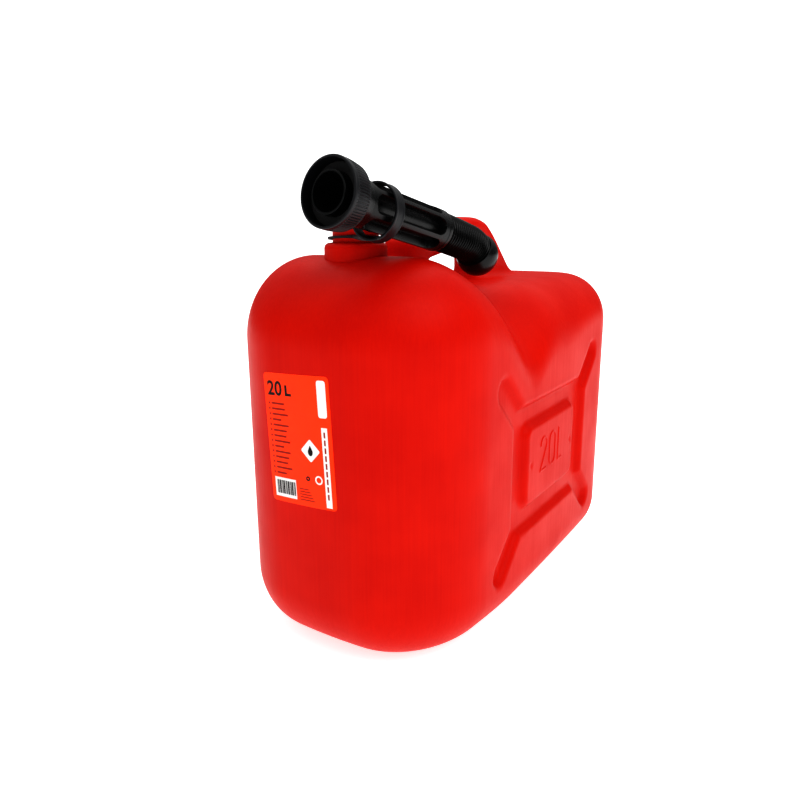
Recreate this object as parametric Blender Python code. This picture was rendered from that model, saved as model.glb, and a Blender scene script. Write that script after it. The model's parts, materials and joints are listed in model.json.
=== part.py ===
"""Twenty-litre plastic fuel can with a screw cap, a flexible pouring spout and its keeper strap.

Metres, +Z up. The origin is the centre of the flat base. The can is long in Y, its neck end faces -Y,
and the spout is stowed beside the neck, on the +X side of the handle.
"""

import math

import bmesh
import bpy
import numpy as np
from mathutils import Matrix, Vector

# Can shell
HALF_WIDTH = 0.1067
HALF_LENGTH = 0.2120
SIDE_BULGE = 0.0031
END_BULGE = 0.0134
CORNER_RADIUS = 0.0742
TOP_EDGE_RADIUS = 0.0597
FRONT_TOP_RADIUS = 0.0640
REAR_TOP_RADIUS = 0.0470
FRONT_TOP_FROM = 0.1000
REAR_TOP_FROM = 0.0200
TOP_CHANGE_RUN = 0.1000
FRONT_BASE_FROM = 0.0600
BASE_CHANGE_RUN = 0.1200
BASE_EDGE_RADIUS = 0.0412
FRONT_BASE_RADIUS = 0.0540
TOWER_TOP = 0.3092
REAR_TOP = 0.2817
STEP_START = -0.1339
STEP_LENGTH = 0.1081
STEP_SLANT = 0.2500
VALLEY_DEPTH = 0.0268
VALLEY_Y = -0.0464
VALLEY_WIDTH = 0.0309
RIDGE_HALF = 0.0200
RIDGE_SLOPE = 0.0750
WALL = 0.0026
BODY_HEART = (0.0, -0.0515, 0.1442)
OUTER_SPACING = 0.0160
INNER_SPACING = 0.0250

# Pressed frame and diagonal arms on each long side
PANEL_Z = 0.1318
FRAME_OUTER = (0.0865, 0.0592)
FRAME_INNER = (0.0529, 0.0319)
FRAME_RADIUS = 0.0103
ARM_START = (0.0700, 0.0453)
ARM_END = (0.1030, 0.0762)
ARM_RADIUS = 0.0134
PRESS_DEPTH = 0.0062
PRESS_SLOPE = 0.0082
PAD_HALF = (0.1500, 0.1220)
PAD_SLOPE = 0.0300

# Neck, thread and bore
NECK_Y = -0.1468
NECK_ROOT = 0.2980
COLLAR_RADIUS = 0.0237
COLLAR_TOP = 0.3190
NECK_RADIUS = 0.0173
NECK_TOP = 0.3523
THREAD_RADIUS = 0.0209
THREAD_FIRST_Z = 0.3290
THREAD_PITCH = 0.0052
THREAD_TURNS = 4
BORE_RADIUS = 0.0146
BORE_ROOT = 0.2600

# Handle, a hollow bar moulded with the shell
HANDLE_HALF_WIDTH = 0.0144
HANDLE_EDGE = 0.0062
HANDLE_OUTLINE = (
    (-0.0927, 0.2880), (-0.0927, 0.3178), (-0.0824, 0.3255), (-0.0536, 0.3368), (-0.0361, 0.3389),
    (0.0288, 0.3389), (0.0490, 0.3345), (0.0665, 0.3227), (0.1180, 0.2773), (0.1180, 0.2678),
    (0.0296, 0.2678), (0.0296, 0.3018), (0.0247, 0.3100), (0.0144, 0.3116), (-0.0309, 0.3080),
    (-0.0618, 0.3028), (-0.0618, 0.2880),
)

# Screw cap and its seal
CAP_RADIUS = 0.0235
CAP_BORE = 0.0214
CAP_FOOT = 0.3356
CAP_CEILING = 0.3549
CAP_TOP = 0.3574
SEAL_RADIUS = 0.0206
GAP = 0.0003
RUNNING_GAP = 0.0005
SOFT_EDGE = 0.0015

# Spout: its axis runs from the mouth of the nut to the start of the hose
SPOUT_MOUTH = (0.0415, -0.2315, 0.3514)
SPOUT_HOSE = (0.0484, -0.1108, 0.3276)
NUT_RADIUS = 0.0228
NUT_TAPER = 0.0010
NUT_BORE = 0.0211
NUT_LENGTH = 0.0165
NUT_WEB = 0.0140
FLANGE_RADIUS = 0.0202
FLANGE_FRONT = 0.0098
FLANGE_BACK = 0.0136
HUB_RADIUS = 0.0155
SHOULDER_RADIUS = 0.0177
TUBE_RADIUS = 0.0138
TUBE_BORE = 0.0124
CORE_RADIUS = 0.0115
CORE_BORE = 0.0093
FIN_RADIUS = 0.0157
FIN_THICKNESS = 0.0043
FIN_COUNT = 6
FIN_START = 0.0345
FIN_END = 0.1130
VENT_RADIUS = 0.0031
VENT_BORE = 0.0019
VENT_START = 0.0240
VENT_END = 0.1080

# Hose, nozzle and dust cap
HOSE_ROUTE = (
    (0.0, 0.0, 0.0), (0.0005, 0.0083, -0.0016), (0.0019, 0.0361, -0.0078), (0.0026, 0.0526, -0.0124),
    (0.0028, 0.0639, -0.0201),
)
HOSE_RADIUS = 0.0139
HOSE_BORE = 0.0098
NOZZLE_RADIUS = 0.0093
NOZZLE_BORE = 0.0074
DUST_CAP_RADIUS = 0.0174
DUST_CAP_WALL = 0.0015
DUST_CAP_RIM = -0.0060
DOME_STEPS = 8

# Keeper strap: one ring round the neck, one round the spout, and a bridge between them
KEEPER_BORE = 0.0187
KEEPER_RADIUS = 0.0210
KEEPER_THICKNESS = 0.0018
BAND_BORE = 0.0181
BAND_RADIUS = 0.0199
BAND_WIDTH = 0.0093
KEEPER_Z = 0.3222
KEEPER_TILT = math.radians(4.0)
KEEPER_HIGH_SIDE = (0.542, -0.840)
BAND_AT = 0.0502
BAND_DROP = 0.0020
BRIDGE_FROM = -0.95
BRIDGE_TO = -0.40

# Label on the front face
LABEL_SIZE = (0.0618, 0.0989)
LABEL_CENTRE = (-0.0072, 0.1792)
LABEL_TURN = math.radians(2.8)
LABEL_THICKNESS = 0.0003

ROUND_SEGMENTS = 32
HOSE_SIDES = 16
HOSE_STEPS = 4
CAN_RED = (0.78, 0.03, 0.02)
SPOUT_BLACK = (0.012, 0.012, 0.013)
LABEL_ORANGE = (0.95, 0.13, 0.01)


def clear_scene():
    for item in list(bpy.data.objects):
        bpy.data.objects.remove(item, do_unlink=True)


def material(name, colour, roughness, metallic=0.0):
    finish = bpy.data.materials.new(name)
    finish.use_nodes = True
    shader = finish.node_tree.nodes["Principled BSDF"]
    shader.inputs["Base Color"].default_value = (*colour, 1.0)
    shader.inputs["Roughness"].default_value = roughness
    shader.inputs["Metallic"].default_value = metallic
    return finish


def add_object(name, mesh_builder, finish=None, smooth=True):
    """Turn a bmesh into a named object, with its faces pointing out."""
    bmesh.ops.recalc_face_normals(mesh_builder, faces=mesh_builder.faces)
    mesh = bpy.data.meshes.new(name)
    mesh_builder.to_mesh(mesh)
    mesh_builder.free()
    if smooth:
        mesh.shade_smooth()
        mesh.set_sharp_from_angle(angle=math.radians(35.0))
    item = bpy.data.objects.new(name, mesh)
    bpy.context.scene.collection.objects.link(item)
    if finish is not None:
        mesh.materials.append(finish)
    return item


def hide_guide(item):
    item.hide_render = True
    item.display_type = "WIRE"
    return item


def combine(target, tool, operation, solver="EXACT"):
    """Join or cut the target with a hidden tool object; MANIFOLD is for cuts that EXACT leaves open."""
    hide_guide(tool)
    step = target.modifiers.new(f"{operation.lower()} {tool.name}", "BOOLEAN")
    step.operation = operation
    step.solver = solver
    step.object = tool


def smooth_step(value):
    held = np.clip(value, 0.0, 1.0)
    return held * held * (3.0 - 2.0 * held)


def rounded_box(x, y, half_x, half_y, radius):
    """Signed distance from a rounded rectangle, negative inside."""
    over_x = np.abs(x) - (half_x - radius)
    over_y = np.abs(y) - (half_y - radius)
    outside = np.hypot(np.maximum(over_x, 0.0), np.maximum(over_y, 0.0))
    return outside + np.minimum(np.maximum(over_x, over_y), 0.0) - radius


def edge_blend(side, cap, radius):
    """Signed distance where a side meets a cap with a round edge of the given radius."""
    over_side = side + radius
    over_cap = cap + radius
    outside = np.hypot(np.maximum(over_side, 0.0), np.maximum(over_cap, 0.0))
    return outside + np.minimum(np.maximum(over_side, over_cap), 0.0) - radius


def top_height(x, y):
    """Height of the top: a tower at the neck end, a lower rear, and a valley that falls to each side."""
    fall = smooth_step((y - STEP_START + STEP_SLANT * np.abs(x)) / STEP_LENGTH)
    outward = smooth_step((np.abs(x) - RIDGE_HALF) / RIDGE_SLOPE)
    valley = VALLEY_DEPTH * outward * np.exp(-(((y - VALLEY_Y) / VALLEY_WIDTH) ** 2))
    return TOWER_TOP + (REAR_TOP - TOWER_TOP) * fall - valley


def top_radius(y):
    """Radius of the top edge: full over the tower's front, tighter at the rear."""
    front = (FRONT_TOP_RADIUS - TOP_EDGE_RADIUS) * smooth_step((-y - FRONT_TOP_FROM) / TOP_CHANGE_RUN)
    return TOP_EDGE_RADIUS + front + (REAR_TOP_RADIUS - TOP_EDGE_RADIUS) * smooth_step((y - REAR_TOP_FROM) / TOP_CHANGE_RUN)


def base_radius(y):
    """Radius of the base edge, which is larger at the front."""
    return BASE_EDGE_RADIUS + (FRONT_BASE_RADIUS - BASE_EDGE_RADIUS) * smooth_step((-y - FRONT_BASE_FROM) / BASE_CHANGE_RUN)


def press_depth(y, z):
    """Depth of the pressed frame and its four arms at a point of a long side."""
    up = z - PANEL_Z
    outer = rounded_box(y, up, *FRAME_OUTER, FRAME_RADIUS)
    inner = rounded_box(y, up, *FRAME_INNER, FRAME_RADIUS * 0.6)
    ring = np.maximum(outer, -inner)
    run = (ARM_END[0] - ARM_START[0], ARM_END[1] - ARM_START[1])
    from_start = (np.abs(y) - ARM_START[0], np.abs(up) - ARM_START[1])
    along = np.clip((from_start[0] * run[0] + from_start[1] * run[1]) / (run[0] ** 2 + run[1] ** 2), 0.0, 1.0)
    arm = np.hypot(from_start[0] - along * run[0], from_start[1] - along * run[1]) - ARM_RADIUS
    return PRESS_DEPTH * smooth_step(-np.minimum(ring, arm) / PRESS_SLOPE)


def pad_depth(y, z):
    """A plain recess that holds the whole pressed pattern, for the inside of the wall."""
    lengthwise = smooth_step((PAD_HALF[0] - np.abs(y)) / PAD_SLOPE)
    return PRESS_DEPTH * lengthwise * smooth_step((PAD_HALF[1] - np.abs(z - PANEL_Z)) / PAD_SLOPE)


def shell_distance(points, depth):
    """Signed distance from the can's outer surface, with a given pattern pressed into the sides."""
    x, y, z = points.T
    half_x = HALF_WIDTH - SIDE_BULGE * (y / HALF_LENGTH) ** 2 - depth(y, z)
    half_y = HALF_LENGTH - END_BULGE * (x / HALF_WIDTH) ** 2
    plan = rounded_box(x, y, half_x, half_y, CORNER_RADIUS)
    top = edge_blend(plan, z - top_height(x, y), top_radius(y))
    return np.maximum(top, edge_blend(plan, -z, base_radius(y)))


def gridded_box(spacing):
    """A box of the can's size whose faces are divided into even cells."""
    size = (2 * HALF_WIDTH, 2 * HALF_LENGTH, TOWER_TOP)
    cells = bmesh.new()
    bmesh.ops.create_cube(cells, size=1.0)
    for axis in range(3):
        across = [e for e in cells.edges if abs(e.verts[0].co[axis] - e.verts[1].co[axis]) > 0.5]
        bmesh.ops.subdivide_edges(cells, edges=across, cuts=round(size[axis] / spacing) - 1)
    bmesh.ops.scale(cells, vec=size, verts=cells.verts)
    bmesh.ops.translate(cells, vec=(0.0, 0.0, TOWER_TOP / 2), verts=cells.verts)
    return cells


def shell_form(name, spacing, inset, depth, finish=None):
    """Draw a gridded box onto the can's surface, moved in by inset, along rays from the can's heart."""
    cells = gridded_box(spacing)
    heart = np.array(BODY_HEART)
    corners = np.array([v.co for v in cells.verts])
    rays = corners - heart
    near, far = np.full(len(rays), 0.2), np.full(len(rays), 1.3)
    for _ in range(32):
        middle = (near + far) / 2
        inside = shell_distance(heart + middle[:, None] * rays, depth) + inset < 0.0
        near, far = np.where(inside, middle, near), np.where(inside, far, middle)
    for vertex, place in zip(cells.verts, heart + near[:, None] * rays):
        vertex.co = place
    return add_object(name, cells, finish)


def turned(name, profile, finish=None, segments=ROUND_SEGMENTS, turn_axis=None):
    """Spin a closed (radius, height) outline about Z; an outline may start and end on the axis."""
    lathe = bmesh.new()
    points = [lathe.verts.new((radius, 0.0, height)) for radius, height in profile]
    pairs = [pair for pair in zip(points, points[1:] + points[:1]) if max(end.co.x for end in pair) > 1e-6]
    edges = [lathe.edges.new(pair) for pair in pairs]
    bmesh.ops.spin(lathe, geom=points + edges, cent=(0, 0, 0), axis=(0, 0, 1), angle=2 * math.pi,
                   steps=segments, use_merge=True)
    bmesh.ops.remove_doubles(lathe, verts=lathe.verts, dist=1e-6)
    item = add_object(name, lathe, finish)
    if turn_axis is not None:
        item.parent = turn_axis
    return item


def plug(name, radius, low, high, segments=ROUND_SEGMENTS):
    """A plain round cutter along Z."""
    rod = bmesh.new()
    bmesh.ops.create_cone(rod, cap_ends=True, segments=segments, radius1=radius, radius2=radius, depth=high - low)
    bmesh.ops.translate(rod, vec=(0.0, 0.0, (low + high) / 2), verts=rod.verts)
    return add_object(name, rod)


def neck_profile():
    """Outline of the neck: collar, plain land for the keeper ring, then the thread."""
    outline = [(0.0, NECK_ROOT), (COLLAR_RADIUS, NECK_ROOT), (COLLAR_RADIUS, COLLAR_TOP - 0.003),
               (COLLAR_RADIUS - 0.001, COLLAR_TOP - 0.0008), (COLLAR_RADIUS - 0.003, COLLAR_TOP),
               (NECK_RADIUS, COLLAR_TOP)]
    for turn in range(THREAD_TURNS):
        crest = THREAD_FIRST_Z + turn * THREAD_PITCH
        outline += [(NECK_RADIUS, crest - 0.0014), (THREAD_RADIUS, crest - 0.0005),
                    (THREAD_RADIUS, crest + 0.0005), (NECK_RADIUS, crest + 0.0014)]
    return outline + [(NECK_RADIUS, NECK_TOP), (0.0, NECK_TOP)]


def inset_outline(outline, inset):
    """Move each edge of a clockwise outline inwards by inset."""
    moved = []
    for before, here, after in zip(outline[-1:] + outline[:-1], outline, outline[1:] + outline[:1]):
        first = (here - before).normalized()
        second = (after - here).normalized()
        lean = Vector((first.y + second.y, -first.x - second.x)).normalized()
        moved.append(here + lean * inset / max(0.4, lean.dot(Vector((second.y, -second.x)))))
    return moved


def handle_form(name, inset):
    """The handle bar as an extruded outline with round edges."""
    outline = inset_outline([Vector(point) for point in HANDLE_OUTLINE], inset)
    half = HANDLE_HALF_WIDTH - inset
    bar = bmesh.new()
    face = bar.faces.new([bar.verts.new((-half, y, z)) for y, z in outline])
    pushed = bmesh.ops.extrude_face_region(bar, geom=[face])["geom"]
    bmesh.ops.translate(bar, vec=(2 * half, 0, 0), verts=[v for v in pushed if isinstance(v, bmesh.types.BMVert)])
    rims = [e for e in bar.edges if abs(e.verts[0].co.x - e.verts[1].co.x) < 1e-6]
    bmesh.ops.bevel(bar, geom=rims, offset=HANDLE_EDGE, segments=3, profile=0.5, affect="EDGES")
    return add_object(name, bar)


def build_can(finish):
    """The blow-moulded shell: hollow, open at the neck, with a hollow handle."""
    can = shell_form("can_body", OUTER_SPACING, 0.0, press_depth, finish)
    neck = turned("neck_form", neck_profile())
    neck.location.y = NECK_Y
    combine(can, neck, "UNION")
    combine(can, handle_form("handle_form", 0.0), "UNION")
    combine(can, shell_form("cavity_form", INNER_SPACING, WALL, pad_depth), "DIFFERENCE")
    combine(can, handle_form("handle_cavity_form", WALL), "DIFFERENCE", "MANIFOLD")
    bore = plug("neck_bore_form", BORE_RADIUS, BORE_ROOT, NECK_TOP + 0.010)
    bore.location.y = NECK_Y
    combine(can, bore, "DIFFERENCE", "MANIFOLD")
    return can


def build_cap(finish, seal_finish):
    """The screw cap with its loose sealing disc, both on the neck's axis."""
    cap = turned("screw_cap", [
        (0.0, CAP_CEILING), (CAP_BORE, CAP_CEILING), (CAP_BORE, CAP_FOOT), (CAP_RADIUS, CAP_FOOT),
        (CAP_RADIUS, CAP_TOP - SOFT_EDGE), (CAP_RADIUS - SOFT_EDGE, CAP_TOP), (0.0, CAP_TOP)], finish)
    seal = turned("cap_seal", [
        (0.0, NECK_TOP + GAP), (SEAL_RADIUS, NECK_TOP + GAP), (SEAL_RADIUS, CAP_CEILING - GAP),
        (0.0, CAP_CEILING - GAP)], seal_finish)
    for piece in (cap, seal):
        piece.location.y = NECK_Y


def spout_axis():
    """An empty at the mouth of the nut whose Z axis points along the spout towards the hose."""
    mouth, hose = Vector(SPOUT_MOUTH), Vector(SPOUT_HOSE)
    axis = bpy.data.objects.new("spout_axis", None)
    bpy.context.scene.collection.objects.link(axis)
    axis.matrix_world = Matrix.Translation(mouth) @ (hose - mouth).to_track_quat("Z", "Y").to_matrix().to_4x4()
    return axis


def build_nut(axis, finish):
    """The union nut, loose on the flange, with its open mouth forwards."""
    turned("spout_nut", [
        (HUB_RADIUS + RUNNING_GAP, NUT_WEB), (NUT_BORE, NUT_WEB), (NUT_BORE, 0.0), (NUT_RADIUS - 0.0004, 0.0),
        (NUT_RADIUS, 0.0006), (NUT_RADIUS, NUT_LENGTH / 2), (NUT_RADIUS - NUT_TAPER, NUT_LENGTH - SOFT_EDGE),
        (NUT_RADIUS - NUT_TAPER - SOFT_EDGE, NUT_LENGTH), (HUB_RADIUS + RUNNING_GAP, NUT_LENGTH)],
        finish, turn_axis=axis)
    turned("spout_gasket", [
        (TUBE_RADIUS + GAP, FLANGE_FRONT - 0.0023), (FLANGE_RADIUS, FLANGE_FRONT - 0.0023),
        (FLANGE_RADIUS, FLANGE_FRONT - GAP), (TUBE_RADIUS + GAP, FLANGE_FRONT - GAP)],
        finish, turn_axis=axis)


def fin(angle):
    """One long rib of the spout's rigid part, from its core to its outer radius."""
    rib = bmesh.new()
    bmesh.ops.create_cube(rib, size=1.0)
    inner = CORE_RADIUS - 0.0010
    bmesh.ops.scale(rib, vec=(FIN_RADIUS - inner, FIN_THICKNESS, FIN_END - FIN_START + 0.002), verts=rib.verts)
    bmesh.ops.translate(rib, vec=((FIN_RADIUS + inner) / 2, 0.0, (FIN_START + FIN_END) / 2), verts=rib.verts)
    bmesh.ops.rotate(rib, cent=(0, 0, 0), matrix=Matrix.Rotation(angle, 3, "Z"), verts=rib.verts)
    return rib


def build_spout_body(axis, finish):
    """The rigid part: plug tube, flange, shoulder, ribbed core and end collar."""
    length = (Vector(SPOUT_HOSE) - Vector(SPOUT_MOUTH)).length
    body = turned("spout_body", [
        (TUBE_BORE, 0.0005), (TUBE_RADIUS, 0.0005), (TUBE_RADIUS, FLANGE_FRONT), (FLANGE_RADIUS, FLANGE_FRONT),
        (FLANGE_RADIUS, FLANGE_BACK), (HUB_RADIUS, FLANGE_BACK), (HUB_RADIUS, NUT_LENGTH + RUNNING_GAP),
        (SHOULDER_RADIUS, NUT_LENGTH + 2 * RUNNING_GAP), (FIN_RADIUS, FIN_START), (CORE_RADIUS, FIN_START + 0.002),
        (CORE_RADIUS, FIN_END - 0.002), (FIN_RADIUS, FIN_END), (FIN_RADIUS, length - SOFT_EDGE),
        (FIN_RADIUS - SOFT_EDGE, length), (CORE_BORE, length), (CORE_BORE, FLANGE_BACK + 0.006),
        (TUBE_BORE, FLANGE_BACK)], finish, turn_axis=axis)
    for index in range(FIN_COUNT):
        rib = add_object(f"fin_form_{index}", fin(2 * math.pi * index / FIN_COUNT))
        rib.parent = axis
        combine(body, rib, "UNION")


def build_vent_tube(axis, finish):
    """The air tube inside the rigid part, which lets air back into the can while it pours."""
    vent = turned("vent_tube", [
        (VENT_BORE, VENT_START), (VENT_RADIUS, VENT_START), (VENT_RADIUS, VENT_END), (VENT_BORE, VENT_END)],
        finish, segments=16, turn_axis=axis)
    vent.location = (0.0, -(CORE_BORE - VENT_RADIUS - GAP), 0.0)


def route_frames(route, steps):
    """Places and directions along a smooth curve through the route's points."""
    points = [Vector(point) + Vector(SPOUT_HOSE) for point in route]
    lead = points[0] - (Vector(SPOUT_HOSE) - Vector(SPOUT_MOUTH)).normalized() * 0.02
    padded = [lead] + points + [2 * points[-1] - points[-2]]
    places = []
    for index in range(len(points) - 1):
        a, b, c, d = padded[index:index + 4]
        for step in range(steps + (index == len(points) - 2)):
            t = step / steps
            places.append(0.5 * (2 * b + (c - a) * t + (2 * a - 5 * b + 4 * c - d) * t * t
                                 + (3 * b - a - 3 * c + d) * t ** 3))
    ends = zip(places[:1] + places[:-1], places[1:] + places[-1:])
    return [(place, (after - before).normalized()) for place, (before, after) in zip(places, ends)]


def build_hose(finish):
    """The corrugated hose: a hollow tube along the route, from the end collar into the dust cap."""
    frames = route_frames(HOSE_ROUTE, HOSE_STEPS)
    hose = bmesh.new()
    rings = []
    for radius, order in ((HOSE_RADIUS, frames), (HOSE_BORE, frames[::-1])):
        for place, along in order:
            across = Vector((1, 0, 0)).cross(along).normalized()
            other = along.cross(across)
            spokes = [2 * math.pi * side / HOSE_SIDES for side in range(HOSE_SIDES)]
            start = place + along * GAP
            rings.append([hose.verts.new(start + radius * (math.cos(s) * across + math.sin(s) * other))
                          for s in spokes])
    for ring, following in zip(rings, rings[1:] + rings[:1]):
        for side in range(HOSE_SIDES):
            turn = (side + 1) % HOSE_SIDES
            hose.faces.new((ring[side], ring[turn], following[turn], following[side]))
    return add_object("corrugated_hose", hose, finish)


def nozzle_axis():
    """An empty at the end of the hose, with Z along the pouring direction."""
    place, along = route_frames(HOSE_ROUTE, HOSE_STEPS)[-1]
    axis = bpy.data.objects.new("nozzle_axis", None)
    bpy.context.scene.collection.objects.link(axis)
    axis.matrix_world = Matrix.Translation(place) @ along.to_track_quat("Z", "Y").to_matrix().to_4x4()
    return axis


def build_nozzle(finish):
    """The nozzle pressed into the end of the hose, and the domed dust cap over both."""
    axis = nozzle_axis()
    turned("nozzle", [
        (NOZZLE_BORE, -0.0120), (NOZZLE_RADIUS, -0.0120), (NOZZLE_RADIUS, 0.0010), (0.0118, 0.0010),
        (0.0118, 0.0025), (0.0095, 0.0060), (NOZZLE_BORE, 0.0060)], finish, segments=24, turn_axis=axis)
    inner = DUST_CAP_RADIUS - DUST_CAP_WALL
    arc = [math.radians(90.0 * step / DOME_STEPS) for step in range(DOME_STEPS + 1)]
    dome = [(DUST_CAP_RADIUS * math.cos(a), DUST_CAP_RADIUS * math.sin(a)) for a in arc]
    hollow = [(inner * math.cos(a), inner * math.sin(a)) for a in arc]
    lip = HOSE_RADIUS + RUNNING_GAP
    turned("dust_cap", [(lip, DUST_CAP_RIM), (DUST_CAP_RADIUS - 0.001, DUST_CAP_RIM),
                        (DUST_CAP_RADIUS, DUST_CAP_RIM + 0.001)]
           + dome + hollow[::-1] + [(inner, DUST_CAP_RIM + SOFT_EDGE), (lip, DUST_CAP_RIM + SOFT_EDGE)],
           finish, turn_axis=axis)


def build_keeper(axis, finish):
    """The keeper strap: a tilted flat ring on the neck, an upright band round the spout, and a bridge."""
    neck_ring = turned("spout_keeper", [
        (KEEPER_BORE, -KEEPER_THICKNESS / 2), (KEEPER_RADIUS, -KEEPER_THICKNESS / 2),
        (KEEPER_RADIUS, KEEPER_THICKNESS / 2), (KEEPER_BORE, KEEPER_THICKNESS / 2)], finish)
    hinge_line = Vector((-KEEPER_HIGH_SIDE[1], KEEPER_HIGH_SIDE[0], 0.0))
    tilt = Matrix.Rotation(-KEEPER_TILT, 4, hinge_line)
    centre = Vector((0.0, NECK_Y, KEEPER_Z))
    neck_ring.matrix_world = Matrix.Translation(centre) @ tilt
    half_band = BAND_WIDTH / 2
    band = turned("keeper_band_form", [
        (BAND_BORE, -half_band), (BAND_RADIUS, -half_band), (BAND_RADIUS, half_band),
        (BAND_BORE, half_band)], turn_axis=axis)
    drop = axis.matrix_world.to_3x3().inverted() @ Vector((0.0, 0.0, -BAND_DROP))
    band.location = Vector((0.0, 0.0, BAND_AT)) + drop
    combine(neck_ring, band, "UNION")
    combine(neck_ring, keeper_bridge(axis, band.location, centre, tilt), "UNION", "MANIFOLD")


def keeper_bridge(axis, band_place, centre, tilt):
    """The strap that leaves the neck ring flat and twists up into the band."""
    def on_ring(angle, radius):
        return centre + tilt.to_3x3() @ Vector((radius * math.cos(angle), radius * math.sin(angle), 0.0))

    def on_band(angle, radius, along):
        local = band_place + Vector((radius * math.cos(angle), radius * math.sin(angle), along))
        return axis.matrix_world @ local

    leaving = on_ring((BRIDGE_FROM + BRIDGE_TO) / 2, KEEPER_RADIUS)
    sides = [math.radians(degree) for degree in range(360)]
    side = min(sides, key=lambda angle: (on_band(angle, BAND_RADIUS, 0.0) - leaving).length)
    half = KEEPER_THICKNESS / 2
    flat = [on_ring(angle, KEEPER_RADIUS - 4 * GAP) + Vector((0, 0, height))
            for angle, height in ((BRIDGE_FROM, -half), (BRIDGE_FROM, half), (BRIDGE_TO, half), (BRIDGE_TO, -half))]
    reach = BAND_WIDTH / 2 - 2 * GAP
    inner, outer = BAND_BORE + GAP, BAND_RADIUS - GAP
    upright = [on_band(side, radius, along)
               for along, radius in ((-reach, outer), (-reach, inner), (reach, inner), (reach, outer))]
    strap = bmesh.new()
    ends = [[strap.verts.new(point) for point in end] for end in (flat, upright)]
    for corner in range(4):
        turn = (corner + 1) % 4
        strap.faces.new((ends[0][corner], ends[0][turn], ends[1][turn], ends[1][corner]))
    strap.faces.new(ends[0][::-1])
    strap.faces.new(ends[1])
    return add_object("keeper_bridge_form", strap)


def build_label(finish):
    """The self-adhesive label, which follows the gentle curve of the front face."""
    label = bmesh.new()
    bmesh.ops.create_grid(label, x_segments=6, y_segments=8, size=0.5)
    bmesh.ops.scale(label, vec=(*LABEL_SIZE, 1.0), verts=label.verts)
    bmesh.ops.rotate(label, cent=(0, 0, 0), matrix=Matrix.Rotation(LABEL_TURN, 3, "Z"), verts=label.verts)
    for vertex in label.verts:
        x, z = vertex.co.x + LABEL_CENTRE[0], vertex.co.y + LABEL_CENTRE[1]
        vertex.co = (x, front_face_y(x) - GAP, z)
    front = bmesh.ops.extrude_face_region(label, geom=label.faces[:])["geom"]
    pushed = [v for v in front if isinstance(v, bmesh.types.BMVert)]
    bmesh.ops.translate(label, vec=(0.0, -LABEL_THICKNESS, 0.0), verts=pushed)
    return add_object("front_label", label, finish)


def front_face_y(x):
    return -(HALF_LENGTH - END_BULGE * (x / HALF_WIDTH) ** 2)


def main():
    clear_scene()
    red = material("red polyethylene", CAN_RED, 0.38)
    black = material("black polypropylene", SPOUT_BLACK, 0.42)
    rubber = material("black rubber", SPOUT_BLACK, 0.70)
    paper = material("label film", LABEL_ORANGE, 0.30)
    build_can(red)
    build_label(paper)
    build_cap(black, rubber)
    axis = spout_axis()
    build_nut(axis, black)
    build_spout_body(axis, black)
    build_vent_tube(axis, black)
    build_hose(black)
    build_nozzle(black)
    build_keeper(axis, black)


main()
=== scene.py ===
"""Studio scene of a twenty-litre plastic fuel can with a screw cap and a stowed flexible pouring spout."""

import itertools
import json
import logging
import math
from collections.abc import Callable, Sequence
from dataclasses import dataclass, field
from enum import Enum

import bmesh
import bpy
import numpy as np
from mathutils import Matrix, Vector


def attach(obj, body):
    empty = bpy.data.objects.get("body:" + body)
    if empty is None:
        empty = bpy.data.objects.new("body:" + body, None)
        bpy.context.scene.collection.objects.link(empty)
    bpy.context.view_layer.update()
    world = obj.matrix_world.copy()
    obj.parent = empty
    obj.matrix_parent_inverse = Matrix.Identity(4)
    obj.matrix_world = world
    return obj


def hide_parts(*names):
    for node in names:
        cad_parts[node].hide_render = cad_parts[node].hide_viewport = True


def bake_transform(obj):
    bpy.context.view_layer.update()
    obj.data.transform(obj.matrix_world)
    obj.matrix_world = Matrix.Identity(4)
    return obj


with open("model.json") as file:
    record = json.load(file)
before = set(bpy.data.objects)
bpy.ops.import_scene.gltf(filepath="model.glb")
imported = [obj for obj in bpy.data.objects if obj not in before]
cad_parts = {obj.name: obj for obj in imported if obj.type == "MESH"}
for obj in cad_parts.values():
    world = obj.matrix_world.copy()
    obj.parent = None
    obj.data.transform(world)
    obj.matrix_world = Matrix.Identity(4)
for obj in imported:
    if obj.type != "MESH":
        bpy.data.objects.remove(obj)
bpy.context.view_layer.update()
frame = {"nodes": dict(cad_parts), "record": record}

LOG = logging.getLogger("fuel_can")
MM = 0.001
TOUCH = 1e-6

Field = Callable[[np.ndarray], np.ndarray]
Profile = list[tuple[float, float]]
Relief = Callable[[np.ndarray, np.ndarray, np.ndarray], np.ndarray]


# ---------------------------------------------------------------- shaping


def smooth_step(value: np.ndarray) -> np.ndarray:
    """Ease a value from 0 to 1 with flat ends."""
    held = np.clip(value, 0.0, 1.0)
    return held * held * (3.0 - 2.0 * held)


def smooth_union(first: np.ndarray, second: np.ndarray, fillet: float) -> np.ndarray:
    """Join two distance values with a rounded inner corner.

    Args:
        first: Distances from one body.
        second: Distances from the other body.
        fillet: Width of the blend, in metres.

    Returns:
        Distances from the joined body.
    """
    share = np.clip(0.5 + 0.5 * (second - first) / fillet, 0.0, 1.0)
    return second + (first - second) * share - fillet * share * (1.0 - share)


def rounded_box(x: np.ndarray, y: np.ndarray, half_x: float, half_y: float, radius: float) -> np.ndarray:
    """Signed distance from a rounded rectangle, negative inside."""
    over_x = np.abs(x) - (half_x - radius)
    over_y = np.abs(y) - (half_y - radius)
    outside = np.hypot(np.maximum(over_x, 0.0), np.maximum(over_y, 0.0))
    return outside + np.minimum(np.maximum(over_x, over_y), 0.0) - radius


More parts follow.
